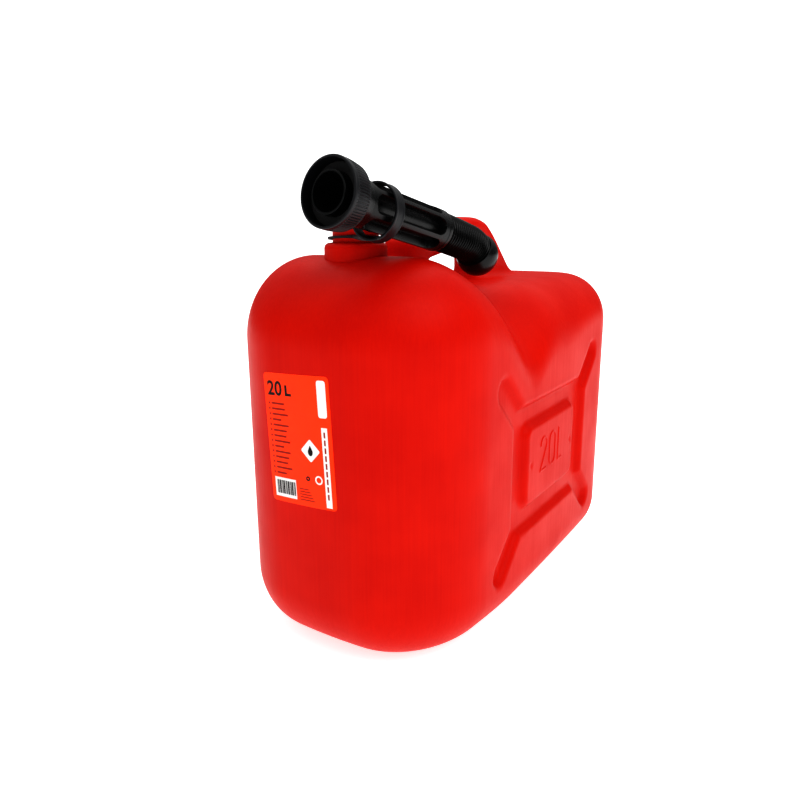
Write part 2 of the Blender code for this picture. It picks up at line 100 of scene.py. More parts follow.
def edge_blend(side: np.ndarray, cap: np.ndarray, radius: float) -> np.ndarray:
    """Signed distance where a side meets a cap with a round edge of the given radius."""
    over_side = side + radius
    over_cap = cap + radius
    outside = np.hypot(np.maximum(over_side, 0.0), np.maximum(over_cap, 0.0))
    return outside + np.minimum(np.maximum(over_side, over_cap), 0.0) - radius


def segment_distance(x: np.ndarray, y: np.ndarray, start: Sequence[float],
                     end: Sequence[float]) -> np.ndarray:
    """Distance in the plane from points to a straight stroke between two places."""
    run_x, run_y = end[0] - start[0], end[1] - start[1]
    along = ((x - start[0]) * run_x + (y - start[1]) * run_y) / (run_x**2 + run_y**2)
    along = np.clip(along, 0.0, 1.0)
    return np.hypot(x - start[0] - along * run_x, y - start[1] - along * run_y)


def outline_distance(x: np.ndarray, y: np.ndarray, outline: Sequence[Sequence[float]]) -> np.ndarray:
    """Signed distance in the plane from a closed outline, negative inside."""
    nearest = np.full(x.shape, np.inf)
    inside = np.zeros(x.shape, bool)
    for start, end in zip(outline, list(outline[1:]) + [outline[0]]):
        nearest = np.minimum(nearest, segment_distance(x, y, start, end))
        if start[1] != end[1]:
            crossing = start[0] + (y - start[1]) * (end[0] - start[0]) / (end[1] - start[1])
            inside ^= ((start[1] > y) != (end[1] > y)) & (x < crossing)
    return np.where(inside, -nearest, nearest)


def corner_cut(outline: Sequence[Sequence[float]], rounds: int) -> list[tuple[float, float]]:
    """Round a closed outline by cutting each corner a little way along its edges."""
    cuts = (0.15, 0.85)
    for _ in range(rounds):
        pairs = list(zip(outline, list(outline[1:]) + [outline[0]]))
        outline = [(a[0] + (b[0] - a[0]) * t, a[1] + (b[1] - a[1]) * t) for a, b in pairs for t in cuts]
    return list(outline)


def surface_net(distance: Field, low: np.ndarray, high: np.ndarray,
                step: float) -> tuple[np.ndarray, np.ndarray]:
    """Cover the zero level of a distance field with quads, one vertex in each crossed cell.

    Args:
        distance: Signed distance of an array of points, negative inside.
        low: Lowest corner of the searched box, outside the body.
        high: Highest corner of the searched box, outside the body.
        step: Width of a cell, in metres.

    Returns:
        The vertices and the quads, which face outwards.
    """
    counts = np.ceil((high - low) / step).astype(int) + 1
    axes = [low[i] + step * np.arange(counts[i]) for i in range(3)]
    values = distance(np.stack(np.meshgrid(*axes, indexing="ij"), -1).reshape(-1, 3)).reshape(counts)
    inside = values < 0.0
    corners = np.array(list(itertools.product((0, 1), repeat=3)))
    spans = counts - 1
    held = sum(inside[tuple(slice(c, c + span) for c, span in zip(corner, spans))].astype(int)
               for corner in corners)
    cells = np.argwhere((held > 0) & (held < 8))
    index = np.full(spans, -1)
    index[tuple(cells.T)] = np.arange(len(cells))
    at_corner = np.stack([values[tuple((cells + corner).T)] for corner in corners], 1)
    total, crossings = np.zeros((len(cells), 3)), np.zeros((len(cells), 1))
    for a, b in itertools.combinations(range(8), 2):
        if np.abs(corners[a] - corners[b]).sum() == 1:
            crossed = ((at_corner[:, a] < 0.0) != (at_corner[:, b] < 0.0))[:, None]
            gap = np.where(crossed[:, 0], at_corner[:, a] - at_corner[:, b], 1.0)
            share = (at_corner[:, a] / gap)[:, None]
            total += crossed * (corners[a] + share * (corners[b] - corners[a]))
            crossings += crossed
    points = low + step * (cells + total / crossings)
    return points, net_quads(inside, index)


def net_quads(inside: np.ndarray, index: np.ndarray) -> np.ndarray:
    """Join the cells round each grid edge that the surface crosses.

    Args:
        inside: Whether each grid point lies in the body.
        index: The vertex number of each crossed cell.

    Returns:
        Quads of vertex numbers that face outwards.
    """
    ring = ((0, 0), (1, 0), (1, 1), (0, 1))
    quads = []
    for axis in range(3):
        units = np.eye(3, dtype=int)
        beside, above = units[(axis + 1) % 3], units[(axis + 2) % 3]
        first = inside.take(range(inside.shape[axis] - 1), axis)
        second = inside.take(range(1, inside.shape[axis]), axis)
        for leaving, order in ((True, ring), (False, ring[::-1])):
            edges = np.argwhere((first == leaving) & (second != leaving))
            quads.append(np.stack([index[tuple((edges - a * beside - b * above).T)] for a, b in order], 1))
    return np.concatenate(quads)


def settle(points: np.ndarray, distance: Field, rounds: int = 2) -> np.ndarray:
    """Move points along the slope of a distance field onto its zero level."""
    nudge = 1e-5
    for _ in range(rounds):
        value = distance(points)
        slope = np.stack([(distance(points + nudge * unit) - value) / nudge for unit in np.eye(3)], 1)
        steepness = np.maximum((slope**2).sum(1), 0.05)
        points = points - np.clip(value / steepness, -2 * MM, 2 * MM)[:, None] * slope
    return points


def relaxed(points: np.ndarray, quads: np.ndarray) -> np.ndarray:
    """Move each point halfway to the middle of its neighbours, which evens out the cells."""
    total, count = np.zeros_like(points), np.zeros(len(points))
    for a, b in ((0, 1), (1, 2), (2, 3), (3, 0)):
        for here, other in ((quads[:, a], quads[:, b]), (quads[:, b], quads[:, a])):
            count += np.bincount(here, minlength=len(points))
            for axis in range(3):
                total[:, axis] += np.bincount(here, points[other, axis], len(points))
    return 0.5 * points + 0.5 * total / count[:, None]


def grown(points: np.ndarray, faces: np.ndarray, name: str) -> bpy.types.Mesh:
    """Make a mesh from arrays of points and faces."""
    mesh = bpy.data.meshes.new(name)
    mesh.from_pydata(points.tolist(), [], faces.tolist())
    mesh.update()
    return mesh


def close_turning(rows: np.ndarray) -> tuple[np.ndarray, list[list[int]]]:
    """Skin a closed strip of rings; a ring whose points meet becomes one pole.

    Args:
        rows: Points of shape (rings, segments, 3), in order round the closed outline.

    Returns:
        The points and faces of one closed body.
    """
    count, around = rows.shape[:2]
    points: list[np.ndarray] = []
    numbers = np.zeros((count, around), int)
    for ring in range(count):
        pole = np.ptp(rows[ring], axis=0).max() < TOUCH
        numbers[ring] = len(points) + (0 if pole else np.arange(around))
        points.extend(rows[ring][:1] if pole else rows[ring])
    faces = []
    for ring in range(count):
        following = (ring + 1) % count
        for side in range(around):
            turn = (side + 1) % around
            corners = (numbers[ring, side], numbers[ring, turn], numbers[following, turn],
                       numbers[following, side])
            face = list(dict.fromkeys(int(corner) for corner in corners))
            if len(face) > 2:
                faces.append(face)
    return np.array(points), faces


@dataclass(frozen=True)
class Shop:
    """The maker's bench: turns outlines and arrays into named, smooth-shaded pieces."""

    sharp_angle: float = math.radians(38.0)

    def piece(self, name: str, mesh: bpy.types.Mesh, place: Matrix | None = None) -> bpy.types.Object:
        """Link a mesh as a smooth-shaded piece with its faces pointing out.

        Args:
            name: Name of the piece.
            mesh: Its mesh.
            place: Its place in the row frame, or None where the mesh already holds it.

        Returns:
            The new object.
        """
        tidy = bmesh.new()
        tidy.from_mesh(mesh)
        bmesh.ops.recalc_face_normals(tidy, faces=tidy.faces)
        tidy.to_mesh(mesh)
        tidy.free()
        mesh.name = name
        mesh.shade_smooth()
        mesh.set_sharp_from_angle(angle=self.sharp_angle)
        item = bpy.data.objects.new(name, mesh)
        bpy.context.scene.collection.objects.link(item)
        if place is not None:
            item.matrix_world = place
            bpy.context.view_layer.update()
        LOG.info("%s: %d faces", name, len(mesh.polygons))
        return item

    def turned(self, name: str, outline: Profile, segments: int, place: Matrix,
               relief: Relief | None = None) -> bpy.types.Object:
        """Turn a closed outline about Z, with an optional relief on its radius.

        Args:
            name: Name of the piece.
            outline: Radius and height of each point, in order.
            segments: Number of steps round the axis.
            place: Frame of the turning axis.
            relief: Gives the new radius from radius, height and angle.

        Returns:
            The turned piece.
        """
        radius, height = (column[:, None] for column in np.array(outline).T)
        angle = np.linspace(0.0, 2 * math.pi, segments, endpoint=False)[None, :]
        radius, height, angle = (a.copy() for a in np.broadcast_arrays(radius, height, angle))
        if relief is not None:
            radius = relief(radius, height, angle)
        rows = np.stack([radius * np.cos(angle), radius * np.sin(angle), height], -1)
        points, faces = close_turning(rows)
        mesh = bpy.data.meshes.new(name)
        mesh.from_pydata(points.tolist(), [], faces)
        return self.piece(name, mesh, place)


def rounded(outline: Sequence[tuple[float, float, float]], steps: int = 4) -> Profile:
    """Round the corners of an open outline.

    Args:
        outline: Radius, height and corner radius of each point.
        steps: Number of points on each round corner.

    Returns:
        The outline's points with its corners drawn as curves.
    """
    result: Profile = []
    for index, (radius, height, bend) in enumerate(outline):
        here = Vector((radius, height))
        if bend <= 0.0 or index in (0, len(outline) - 1):
            result.append((radius, height))
            continue
        before = (Vector(outline[index - 1][:2]) - here).normalized() * bend + here
        after = (Vector(outline[index + 1][:2]) - here).normalized() * bend + here
        for step in range(steps + 1):
            t = step / steps
            spot = before * (1 - t) ** 2 + here * 2 * t * (1 - t) + after * t**2
            result.append((spot.x, spot.y))
    return result


def filled(outline: Profile, step: float) -> Profile:
    """Add points along the long straight stretches of an outline, one for each step."""
    result: Profile = []
    for (r0, z0), (r1, z1) in zip(outline, outline[1:]):
        count = max(1, round(math.hypot(r1 - r0, z1 - z0) / step))
        result += [(r0 + (r1 - r0) * i / count, z0 + (z1 - z0) * i / count) for i in range(count)]
    return result + [outline[-1]]


# ---------------------------------------------------------------- finishes


def linear(colour: str) -> tuple[float, float, float, float]:
    """Turn an sRGB hex colour such as #C81408 into linear light, with full opacity."""
    parts = [int(colour[i : i + 2], 16) / 255 for i in (1, 3, 5)]
    return (*(p / 12.92 if p <= 0.04045 else ((p + 0.055) / 1.055) ** 2.4 for p in parts), 1.0)


def add_node(tree: bpy.types.NodeTree, kind: str, values: dict[str, object] | None = None,
             links: dict[str | int, bpy.types.NodeSocket] | None = None) -> bpy.types.Node:
    """Add a node with its settings, socket values and incoming links.

    Args:
        tree: The node tree that receives the node.
        kind: Blender's node type.
        values: Settings by attribute name, or socket values by socket name.
        links: Outgoing sockets by the name or number of the socket they feed.

    Returns:
        The new node.
    """
    node = tree.nodes.new(kind)
    for name, value in (values or {}).items():
        if name in node.inputs:
            node.inputs[name].default_value = value
        else:
            setattr(node, name, value)
    for name, socket in (links or {}).items():
        tree.links.new(socket, node.inputs[name])
    return node


class Pattern(Enum):
    """How a moulding's surface was made, which sets the direction of its fine marks."""

    DRAWN = "drawn down as a tube before moulding"
    SPARKED = "pressed against a spark-eroded mould"
    POLISHED = "pressed against a polished mould"


@dataclass(frozen=True)
class Plastic:
    """A moulded plastic or rubber, coloured through, with fine marks from its making."""

    name: str
    colour: str
    shade: str
    roughness: float
    ior: float
    pattern: Pattern
    grain_mm: float
    grain_depth_mm: float
    patch_mm: float = 45.0
    scuff: str | None = None
    mirror: float = 0.5

    def stretch(self) -> tuple[float, float, float]:
        """Length of the marks along Z against their width: drawn plastic has long streaks."""
        return (1.0, 1.0, 0.018) if self.pattern is Pattern.DRAWN else (1.0, 1.0, 1.0)

    def material(self) -> bpy.types.Material:
        """Build the node material.

        Returns:
            A material with uneven colour, uneven gloss and a fine relief.
        """
        finish = bpy.data.materials.new(self.name)
        finish.use_nodes = True
        tree = finish.node_tree
        shader = tree.nodes["Principled BSDF"]
        shader.inputs["IOR"].default_value = self.ior
        shader.inputs["Metallic"].default_value = 0.0
        shader.inputs["Specular IOR Level"].default_value = self.mirror
        place = add_node(tree, "ShaderNodeTexCoord").outputs["Object"]
        drawn = add_node(tree, "ShaderNodeMapping", {"Scale": self.stretch()},
                         {"Vector": place}).outputs["Vector"]
        # Marks one grain wide, and broad patches where the melt ran hotter or thicker.
        marks = add_node(tree, "ShaderNodeTexNoise", {"Scale": 1.0 / (self.grain_mm * MM), "Detail": 3.0,
                                                       "Roughness": 0.6}, {"Vector": drawn})
        patches = add_node(tree, "ShaderNodeTexNoise", {"Scale": 1.0 / (self.patch_mm * MM), "Detail": 4.0},
                           {"Vector": place})
        blend = add_node(tree, "ShaderNodeMath", {"operation": "MULTIPLY_ADD"},
                         {0: marks.outputs["Fac"], 2: patches.outputs["Fac"]})
        blend.inputs[1].default_value = 0.55
        spread = add_node(tree, "ShaderNodeMapRange", {"From Min": 0.55, "From Max": 1.0},
                          {"Value": blend.outputs[0]})
        tint = add_node(tree, "ShaderNodeMix", {"data_type": "RGBA"}, {"Factor": spread.outputs["Result"]})
        tint.inputs["A"].default_value = linear(self.colour)
        tint.inputs["B"].default_value = linear(self.shade)
        colour = tint.outputs["Result"]
        if self.scuff is not None:
            colour = self.scuffed(tree, place, colour)
        tree.links.new(colour, shader.inputs["Base Color"])
        gloss = add_node(tree, "ShaderNodeMapRange", {"From Min": 0.55, "From Max": 1.0,
                                                       "To Min": self.roughness - 0.05,
                                                       "To Max": self.roughness + 0.07},
                         {"Value": blend.outputs[0]})
        tree.links.new(gloss.outputs["Result"], shader.inputs["Roughness"])
        bump = add_node(tree, "ShaderNodeBump", {"Strength": 1.0, "Distance": self.grain_depth_mm * MM},
                        {"Height": marks.outputs["Fac"]})
        tree.links.new(bump.outputs["Normal"], shader.inputs["Normal"])
        return finish

    def scuffed(self, tree: bpy.types.NodeTree, place: bpy.types.NodeSocket,
                colour: bpy.types.NodeSocket) -> bpy.types.NodeSocket:
        """Lighten the foot, where the can is slid over floors.

        Args:
            tree: The material's node tree.
            place: Coordinates in metres.
            colour: The colour before wear.

        Returns:
            The colour with worn flecks near the base.
        """
        height = add_node(tree, "ShaderNodeSeparateXYZ", None, {"Vector": place}).outputs["Z"]
        low = add_node(tree, "ShaderNodeMapRange", {"From Min": 0.0, "From Max": 14 * MM, "To Min": 0.35,
                                                     "To Max": 0.0}, {"Value": height})
        flecks = add_node(tree, "ShaderNodeTexNoise", {"Scale": 1.0 / (2.5 * MM), "Detail": 6.0},
                          {"Vector": place})
        worn = add_node(tree, "ShaderNodeMapRange", {"From Min": 0.55, "From Max": 0.75},
                        {"Value": flecks.outputs["Fac"]})
        share = add_node(tree, "ShaderNodeMath", {"operation": "MULTIPLY"},
                         {0: low.outputs["Result"], 1: worn.outputs["Result"]})
        wear = add_node(tree, "ShaderNodeMix", {"data_type": "RGBA"},
                        {"Factor": share.outputs[0], "A": colour})
        wear.inputs["B"].default_value = linear(self.scuff)
        return wear.outputs["Result"]


@dataclass(frozen=True)
class Film:
    """Printed self-adhesive polypropylene film, or one of the inks on it."""

    name: str
    colour: str
    shade: str
    roughness: float = 0.28
    ior: float = 1.49
    # Strength of a painted glow in the film's own colour, lit by no lamp.
    painted_glow: float = 0.0
    mirror: float = 0.14

    def material(self) -> bpy.types.Material:
        """Build the node material.

        Returns:
            A glossy even colour, with an optional painted glow in its own colour, and the faint waves of a
            film laid on by hand.
        """
        finish = bpy.data.materials.new(self.name)
        finish.use_nodes = True
        tree = finish.node_tree
        shader = tree.nodes["Principled BSDF"]
        shader.inputs["IOR"].default_value = self.ior
        shader.inputs["Roughness"].default_value = self.roughness
        shader.inputs["Specular IOR Level"].default_value = self.mirror
        # Emission in the film's own colour paints a faint glow on it, lit by no lamp.
        shader.inputs["Emission Color"].default_value = linear(self.colour)
        shader.inputs["Emission Strength"].default_value = self.painted_glow
        place = add_node(tree, "ShaderNodeTexCoord").outputs["Object"]
        # Screen-printed ink covers a little unevenly, in patches about 9 mm wide.
        cover = add_node(tree, "ShaderNodeTexNoise", {"Scale": 1.0 / (9 * MM), "Detail": 5.0},
                         {"Vector": place})
        tint = add_node(tree, "ShaderNodeMix", {"data_type": "RGBA"}, {"Factor": cover.outputs["Fac"]})
        tint.inputs["A"].default_value = linear(self.colour)
        tint.inputs["B"].default_value = linear(self.shade)
        tree.links.new(tint.outputs["Result"], shader.inputs["Base Color"])
        # Waves of the film itself are broader, about 14 mm.
        waves = add_node(tree, "ShaderNodeTexNoise", {"Scale": 1.0 / (14 * MM), "Detail": 1.0},
                         {"Vector": place})
        bump = add_node(tree, "ShaderNodeBump", {"Strength": 0.6, "Distance": 0.2 * MM},
                        {"Height": waves.outputs["Fac"]})
        tree.links.new(bump.outputs["Normal"], shader.inputs["Normal"])
        return finish


# High-density polyethylene, blow moulded: waxy satin, with long streaks drawn down the tube.
RED_SHELL = Plastic("red high-density polyethylene", "#CE1906", "#C31305", 0.42, 1.54, Pattern.DRAWN,
                    1.6, 0.035, scuff="#E0604C", mirror=0.08)
# Polypropylene from a spark-eroded mould: a dark even matt that still catches a grey edge.
BLACK_NUT = Plastic("black polypropylene, fine matt", "#121317", "#0C0D10", 0.42, 1.49, Pattern.SPARKED,
                    0.5, 0.012, mirror=0.42)
# Polypropylene from a polished mould: deeper black with long soft highlights.
BLACK_SPOUT = Plastic("black polypropylene, satin", "#060708", "#040505", 0.28, 1.49, Pattern.POLISHED,
                      0.8, 0.002, mirror=0.28)
# Low-density polyethylene: flexible, with a waxy shine.
BLACK_HOSE = Plastic("black low-density polyethylene", "#060707", "#040505", 0.26, 1.51, Pattern.POLISHED,
                     1.0, 0.003, mirror=0.30)
# Nitrile rubber: dull and even.
SEAL_RUBBER = Plastic("black nitrile rubber", "#1B1B1B", "#141414", 0.72, 1.52, Pattern.SPARKED, 0.4, 0.02)
# The films and inks of the label.
# The orange film is given a faint glow in its own colour: painted light that brightens it beyond what the
# lamps give.
LABEL_FILM = Film("orange polypropylene film", "#FF3D05", "#F63602", painted_glow=0.16)
WHITE_INK = Film("white screen ink", "#F4F2F0", "#E9E6E4", 0.35)
BLACK_INK = Film("black screen ink", "#141110", "#1E1714", 0.32)
BROWN_INK = Film("thin dark red ink", "#9C1F08", "#8A1A06", 0.35)


@dataclass
class Finishes:
    """The finishes in use, each made once."""

    made: dict[str, bpy.types.Material] = field(default_factory=dict)

    def dress(self, item: bpy.types.Object, *finishes: Plastic | Film) -> None:
        """Give an object its materials, in slot order."""
        item.data.materials.clear()
        for finish in finishes:
            if finish.name not in self.made:
                self.made[finish.name] = finish.material()
            item.data.materials.append(self.made[finish.name])

    def repaint(self, node: str, finish: Plastic | Film) -> None:
        """Give a CAD node that stays visible its finish, through its object's own slots."""
        item = frame["nodes"][node]
        if finish.name not in self.made:
            self.made[finish.name] = finish.material()
        for slot in item.material_slots:
            slot.link = "OBJECT"
            slot.material = self.made[finish.name]


# ---------------------------------------------------------------- the can


@dataclass(frozen=True)
class ShellForm:
    """The outer form of the blow-moulded can, as a distance field in metres."""

    half_width: float = 0.1067
    half_length: float = 0.2120
    side_bulge: float = 0.0031
    end_bulge: float = 0.0134
    corner_radius: float = 0.0742
    top_edge_radius: float = 0.0597
    front_top_radius: float = 0.0640
    rear_top_radius: float = 0.0470
    base_edge_radius: float = 0.0412
    front_base_radius: float = 0.0540
    front_top_from: float = 0.1000
    rear_top_from: float = 0.0200
    top_change_run: float = 0.1000
    front_base_from: float = 0.0600
    base_change_run: float = 0.1200
    tower_top: float = 0.3092
    rear_top: float = 0.2817
    step_start: float = -0.1339
    step_length: float = 0.1081
    step_slant: float = 0.2500
    valley_depth: float = 0.0268
    valley_y: float = -0.0464
    valley_width: float = 0.0309
    ridge_half: float = 0.020
    ridge_slope: float = 0.075
    panel_z: float = 0.1318
    frame_outer: tuple[float, float] = (0.0865, 0.0592)
    frame_inner: tuple[float, float] = (0.0529, 0.0319)
    frame_radius: float = 0.0103
    frame_inner_radius: float = 0.0103 * 0.6
    arm_start: tuple[float, float] = (0.0700, 0.0453)
    arm_end: tuple[float, float] = (0.1030, 0.0762)
    arm_radius: float = 0.0134
    press_depth: float = 0.0062
    press_slope: float = 0.0082
    neck_y: float = -0.1468
    bore_radius: float = 0.0150
    well_centre: tuple[float, float, float] = (0.0, -0.1250, 0.2350)
    well_radius: float = 0.0560
    handle_half_width: float = 0.0146
    handle_edge: float = 0.0070
    handle_fillet: float = 0.0110
    handle_margin: float = 0.0200
    handle_outline: tuple[tuple[float, float], ...] = (
        (-0.0927, 0.2780), (-0.0927, 0.3178), (-0.0824, 0.3255), (-0.0536, 0.3368), (-0.0361, 0.3389),
        (0.0288, 0.3389), (0.0490, 0.3345), (0.0665, 0.3227), (0.1180, 0.2773), (0.1180, 0.2578),
        (0.0296, 0.2578), (0.0296, 0.3018), (0.0247, 0.3100), (0.0144, 0.3116), (-0.0309, 0.3080),
        (-0.0618, 0.3028), (-0.0618, 0.2780),
    )
    dent_at: tuple[float, float] = (0.0470, 0.0006)
    dent_radius: float = 0.0042
    dent_depth: float = 0.0014
    mark_rise: float = 0.0046
    mark_tall: float = 0.0150
    mark_wide: float = 0.0066
    mark_places: tuple[float, float, float] = (-0.0200, 0.0005, 0.0200)
    mark_height: float = 0.0007
    mark_stroke: float = 0.0014
    mark_slope: float = 0.0010

    def top_height(self, x: np.ndarray, y: np.ndarray) -> np.ndarray:
        """Height of the top: a tower at the neck, a lower rear, and a valley that falls to each side."""
        fall = smooth_step((y - self.step_start + self.step_slant * np.abs(x)) / self.step_length)
        outward = smooth_step((np.abs(x) - self.ridge_half) / self.ridge_slope)
        valley = self.valley_depth * outward * np.exp(-(((y - self.valley_y) / self.valley_width) ** 2))
        return self.tower_top + (self.rear_top - self.tower_top) * fall - valley

    def top_radius(self, y: np.ndarray) -> np.ndarray:
        """Radius of the top edge: full over the tower's front, tighter at the rear."""
        front = (self.front_top_radius - self.top_edge_radius) * smooth_step(
            (-y - self.front_top_from) / self.top_change_run)
        rear = (self.rear_top_radius - self.top_edge_radius) * smooth_step(
            (y - self.rear_top_from) / self.top_change_run)
        return self.top_edge_radius + front + rear

    def base_radius(self, y: np.ndarray) -> np.ndarray:
        """Radius of the base edge, which is larger at the front."""
        extra = self.front_base_radius - self.base_edge_radius
        return self.base_edge_radius + extra * smooth_step((-y - self.front_base_from) / self.base_change_run)

    def pressed(self, y: np.ndarray, z: np.ndarray) -> np.ndarray:
        """Depth of the pressed frame, its four arms and two small dents at a point of a long side."""
        up = z - self.panel_z
        outer = rounded_box(y, up, *self.frame_outer, self.frame_radius)
        inner = rounded_box(y, up, *self.frame_inner, self.frame_inner_radius)
        ring = np.maximum(outer, -inner)
        arm = segment_distance(np.abs(y), np.abs(up), self.arm_start, self.arm_end) - self.arm_radius
        dent = np.hypot(np.abs(y) - self.dent_at[0], up - self.dent_at[1]) / self.dent_radius
        return (self.press_depth * smooth_step(-np.minimum(ring, arm) / self.press_slope)
                + self.dent_depth * smooth_step(1.0 - dent))

    def mark_distance(self, across: np.ndarray, up: np.ndarray) -> np.ndarray:
        """Distance from the centre lines of the raised capacity figure 20 L on the inner panel."""
        tall, wide = self.mark_tall, self.mark_wide
        two, nought, letter = self.mark_places
        crown, slant_top = tall - wide, (two + wide * 0.92, tall - wide * 1.4)
        bow = np.hypot(across - two, up - crown)
        lower = (up < crown) & (across < two)
        bow = np.where(lower, np.hypot(across - (two - wide), up - crown), np.abs(bow - wide))
        slant = segment_distance(across, up, slant_top, (two - wide, -tall))
        bow = np.where((up < slant_top[1]) & (across > two), np.inf, bow)
        foot = segment_distance(across, up, (two - wide, -tall), (two + wide, -tall))
        ring = np.abs(rounded_box(across - nought, up, wide, tall, wide))
        stem = segment_distance(across, up, (letter - wide * 0.7, tall), (letter - wide * 0.7, -tall))
        base = segment_distance(across, up, (letter - wide * 0.7, -tall), (letter + wide * 0.8, -tall))
        return np.minimum.reduce([bow, slant, foot, ring, stem, base])

    def body(self, points: np.ndarray) -> np.ndarray:
        """Distance from the can without handle, neck or bore."""
        x, y, z = points.T
        mark = self.mark_distance(y * np.sign(x), z - self.panel_z - self.mark_rise)
        raised = smooth_step((self.mark_stroke - mark) / self.mark_slope)
        half_x = self.half_width - self.side_bulge * (y / self.half_length) ** 2
        half_x = half_x - self.pressed(y, z) + self.mark_height * raised
        half_y = self.half_length - self.end_bulge * (x / self.half_width) ** 2
        plan = rounded_box(x, y, half_x, half_y, self.corner_radius)
        top = edge_blend(plan, z - self.top_height(x, y), self.top_radius(y))
        return np.maximum(top, edge_blend(plan, -z, self.base_radius(y)))

    def handle(self, points: np.ndarray) -> np.ndarray:
        """Distance from the handle bar, an outline in the middle plane with round edges."""
        x, y, z = points.T
        side = outline_distance(y, z, corner_cut(self.handle_outline, 2))
        return edge_blend(side, np.abs(x) - self.handle_half_width, self.handle_edge)

    def well(self, points: np.ndarray) -> np.ndarray:
        """Distance from the bore and the part of the inside that can be seen down the neck."""
        x, y, z = points.T
        bore = np.maximum(np.hypot(x, y - self.neck_y) - self.bore_radius, self.well_centre[2] - z)
        room = np.linalg.norm(points - np.array(self.well_centre), axis=1) - self.well_radius
        return np.minimum(bore, room)

    def distance(self, points: np.ndarray) -> np.ndarray:
        """Distance from the whole moulding."""
        result = self.body(points)
        outline = np.array(self.handle_outline)
        low, high = outline.min(0) - self.handle_margin, outline.max(0) + self.handle_margin
        near = np.flatnonzero((points[:, 1] > low[0]) & (points[:, 1] < high[0]) & (points[:, 2] > low[1])
                              & (np.abs(points[:, 0]) < self.handle_half_width + self.handle_margin))
        result[near] = smooth_union(result[near], self.handle(points[near]), self.handle_fillet)
        return np.maximum(result, -self.well(points))

    def front_y(self, x: float) -> float:
        """Place of the front face at a distance from the middle."""
        return -(self.half_length - self.end_bulge * (x / self.half_width) ** 2)


@dataclass
class CanShell:
    """The red moulding: shell, pressed sides, handle, collar and threaded neck."""

    shop: Shop
    finishes: Finishes
    form: ShellForm = field(default_factory=ShellForm)
    cell: float = 0.0026
    even_rounds: int = 3
    mark_box: tuple[float, float] = (0.034, 0.020)
    collar_radius: float = 0.0237
    collar_top: float = 0.3190
    neck_radius: float = 0.0173
    neck_bore: float = 0.0146
    neck_top: float = 0.3523
    neck_foot: float = 0.2980
    thread_radius: float = 0.0206
    thread_low: float = 0.3280
    thread_pitch: float = 0.0052
    thread_turns: float = 3.6
    thread_half: float = 0.0017
    thread_slope: float = 0.0012
    thread_fade: float = 0.15
    collar_round: float = 0.0046
    lip_round: float = 0.0009

    def build_skin(self) -> bpy.types.Object:
        """Cover the form with even cells, finer on the raised figure of each side.

        Returns:
            The shell as one closed body.
        """
        low = np.array([-self.form.half_width, -self.form.half_length, 0.0]) - 3 * self.cell
        high = np.array([self.form.half_width, self.form.half_length, 0.345]) + 3 * self.cell
        points, quads = surface_net(self.form.distance, low, high, self.cell)
        points = settle(points, self.form.distance)
        for _ in range(self.even_rounds):
            points = settle(relaxed(points, quads), self.form.distance, 1)
        mesh = grown(points, quads, "can_skin")
        self.refine(mesh)
        return self.shop.piece("can_skin", mesh)

    def refine(self, mesh: bpy.types.Mesh) -> None:
        """Split the cells under the raised figures and lay them onto the form again."""
        cells = bmesh.new()
        cells.from_mesh(mesh)
        figure = [e for e in cells.edges if all(self.on_mark(v.co) for v in e.verts)]
        bmesh.ops.subdivide_edges(cells, edges=figure, cuts=3, use_grid_fill=True)
        held = [v for v in cells.verts if self.on_mark(v.co)]
        for vertex, place in zip(held, settle(np.array([v.co for v in held]), self.form.distance)):
            vertex.co = place
        cells.to_mesh(mesh)
        cells.free()

    def on_mark(self, place: Vector) -> bool:
        """Whether a place lies on one of the two inner side panels, over the raised figure."""
        up = place.z - self.form.panel_z - self.form.mark_rise
        return abs(place.x) > 0.09 and abs(place.y) < self.mark_box[0] and abs(up) < self.mark_box[1]

    def build_neck(self) -> bpy.types.Object:
        """Turn the collar and the neck, with a rounded screw thread.

        Returns:
            The neck as one closed tube.
        """
        below_thread, below_lip = self.thread_low - 4 * MM, self.neck_top - 1 * MM
        collar = rounded([(self.neck_bore, self.neck_foot, 0), (self.collar_radius, self.neck_foot, 0),
                          (self.collar_radius, self.collar_top, self.collar_round),
                          (self.neck_radius, self.collar_top, 0.8 * MM),
                          (self.neck_radius, below_thread, 0)], 5)
        straight = filled([(self.neck_radius, below_thread), (self.neck_radius, below_lip)], 0.4 * MM)
        lip = rounded([(self.neck_radius, below_lip, 0), (self.neck_radius, self.neck_top, self.lip_round),
                       (self.neck_bore, self.neck_top, self.lip_round),
                       (self.neck_bore, self.neck_top - 2 * MM, 0)], 4)
        place = Matrix.Translation((0.0, self.form.neck_y, 0.0))
        return self.shop.turned("can_neck", collar + straight[1:] + lip[1:], 120, place, self.thread)

    def thread(self, radius: np.ndarray, height: np.ndarray, angle: np.ndarray) -> np.ndarray:
        """Raise a rounded thread along a helix, with ends that run out smoothly."""
        turn = (height - self.thread_low) / self.thread_pitch - angle / (2 * math.pi)
        nearest = np.clip(np.round(turn), 0.0, math.floor(self.thread_turns))
        run = nearest + angle / (2 * math.pi)
        off = np.abs(turn - nearest) * self.thread_pitch
        fade = smooth_step(run / self.thread_fade) * smooth_step((self.thread_turns - run) / self.thread_fade)
        ridge = smooth_step((self.thread_half - off) / self.thread_slope) * fade
        outside = radius > self.neck_radius - TOUCH
        return np.where(outside & (height > self.collar_top + 1 * MM),
                        np.maximum(radius, radius + (self.thread_radius - self.neck_radius) * ridge), radius)

    def build(self) -> None:
        """Build and dress the moulding, which stands for the CAD shell."""
        skin, neck = self.build_skin(), self.build_neck()
        for piece in (skin, neck):
            self.finishes.dress(piece, RED_SHELL)
            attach(piece, "can")
        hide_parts("can_body")


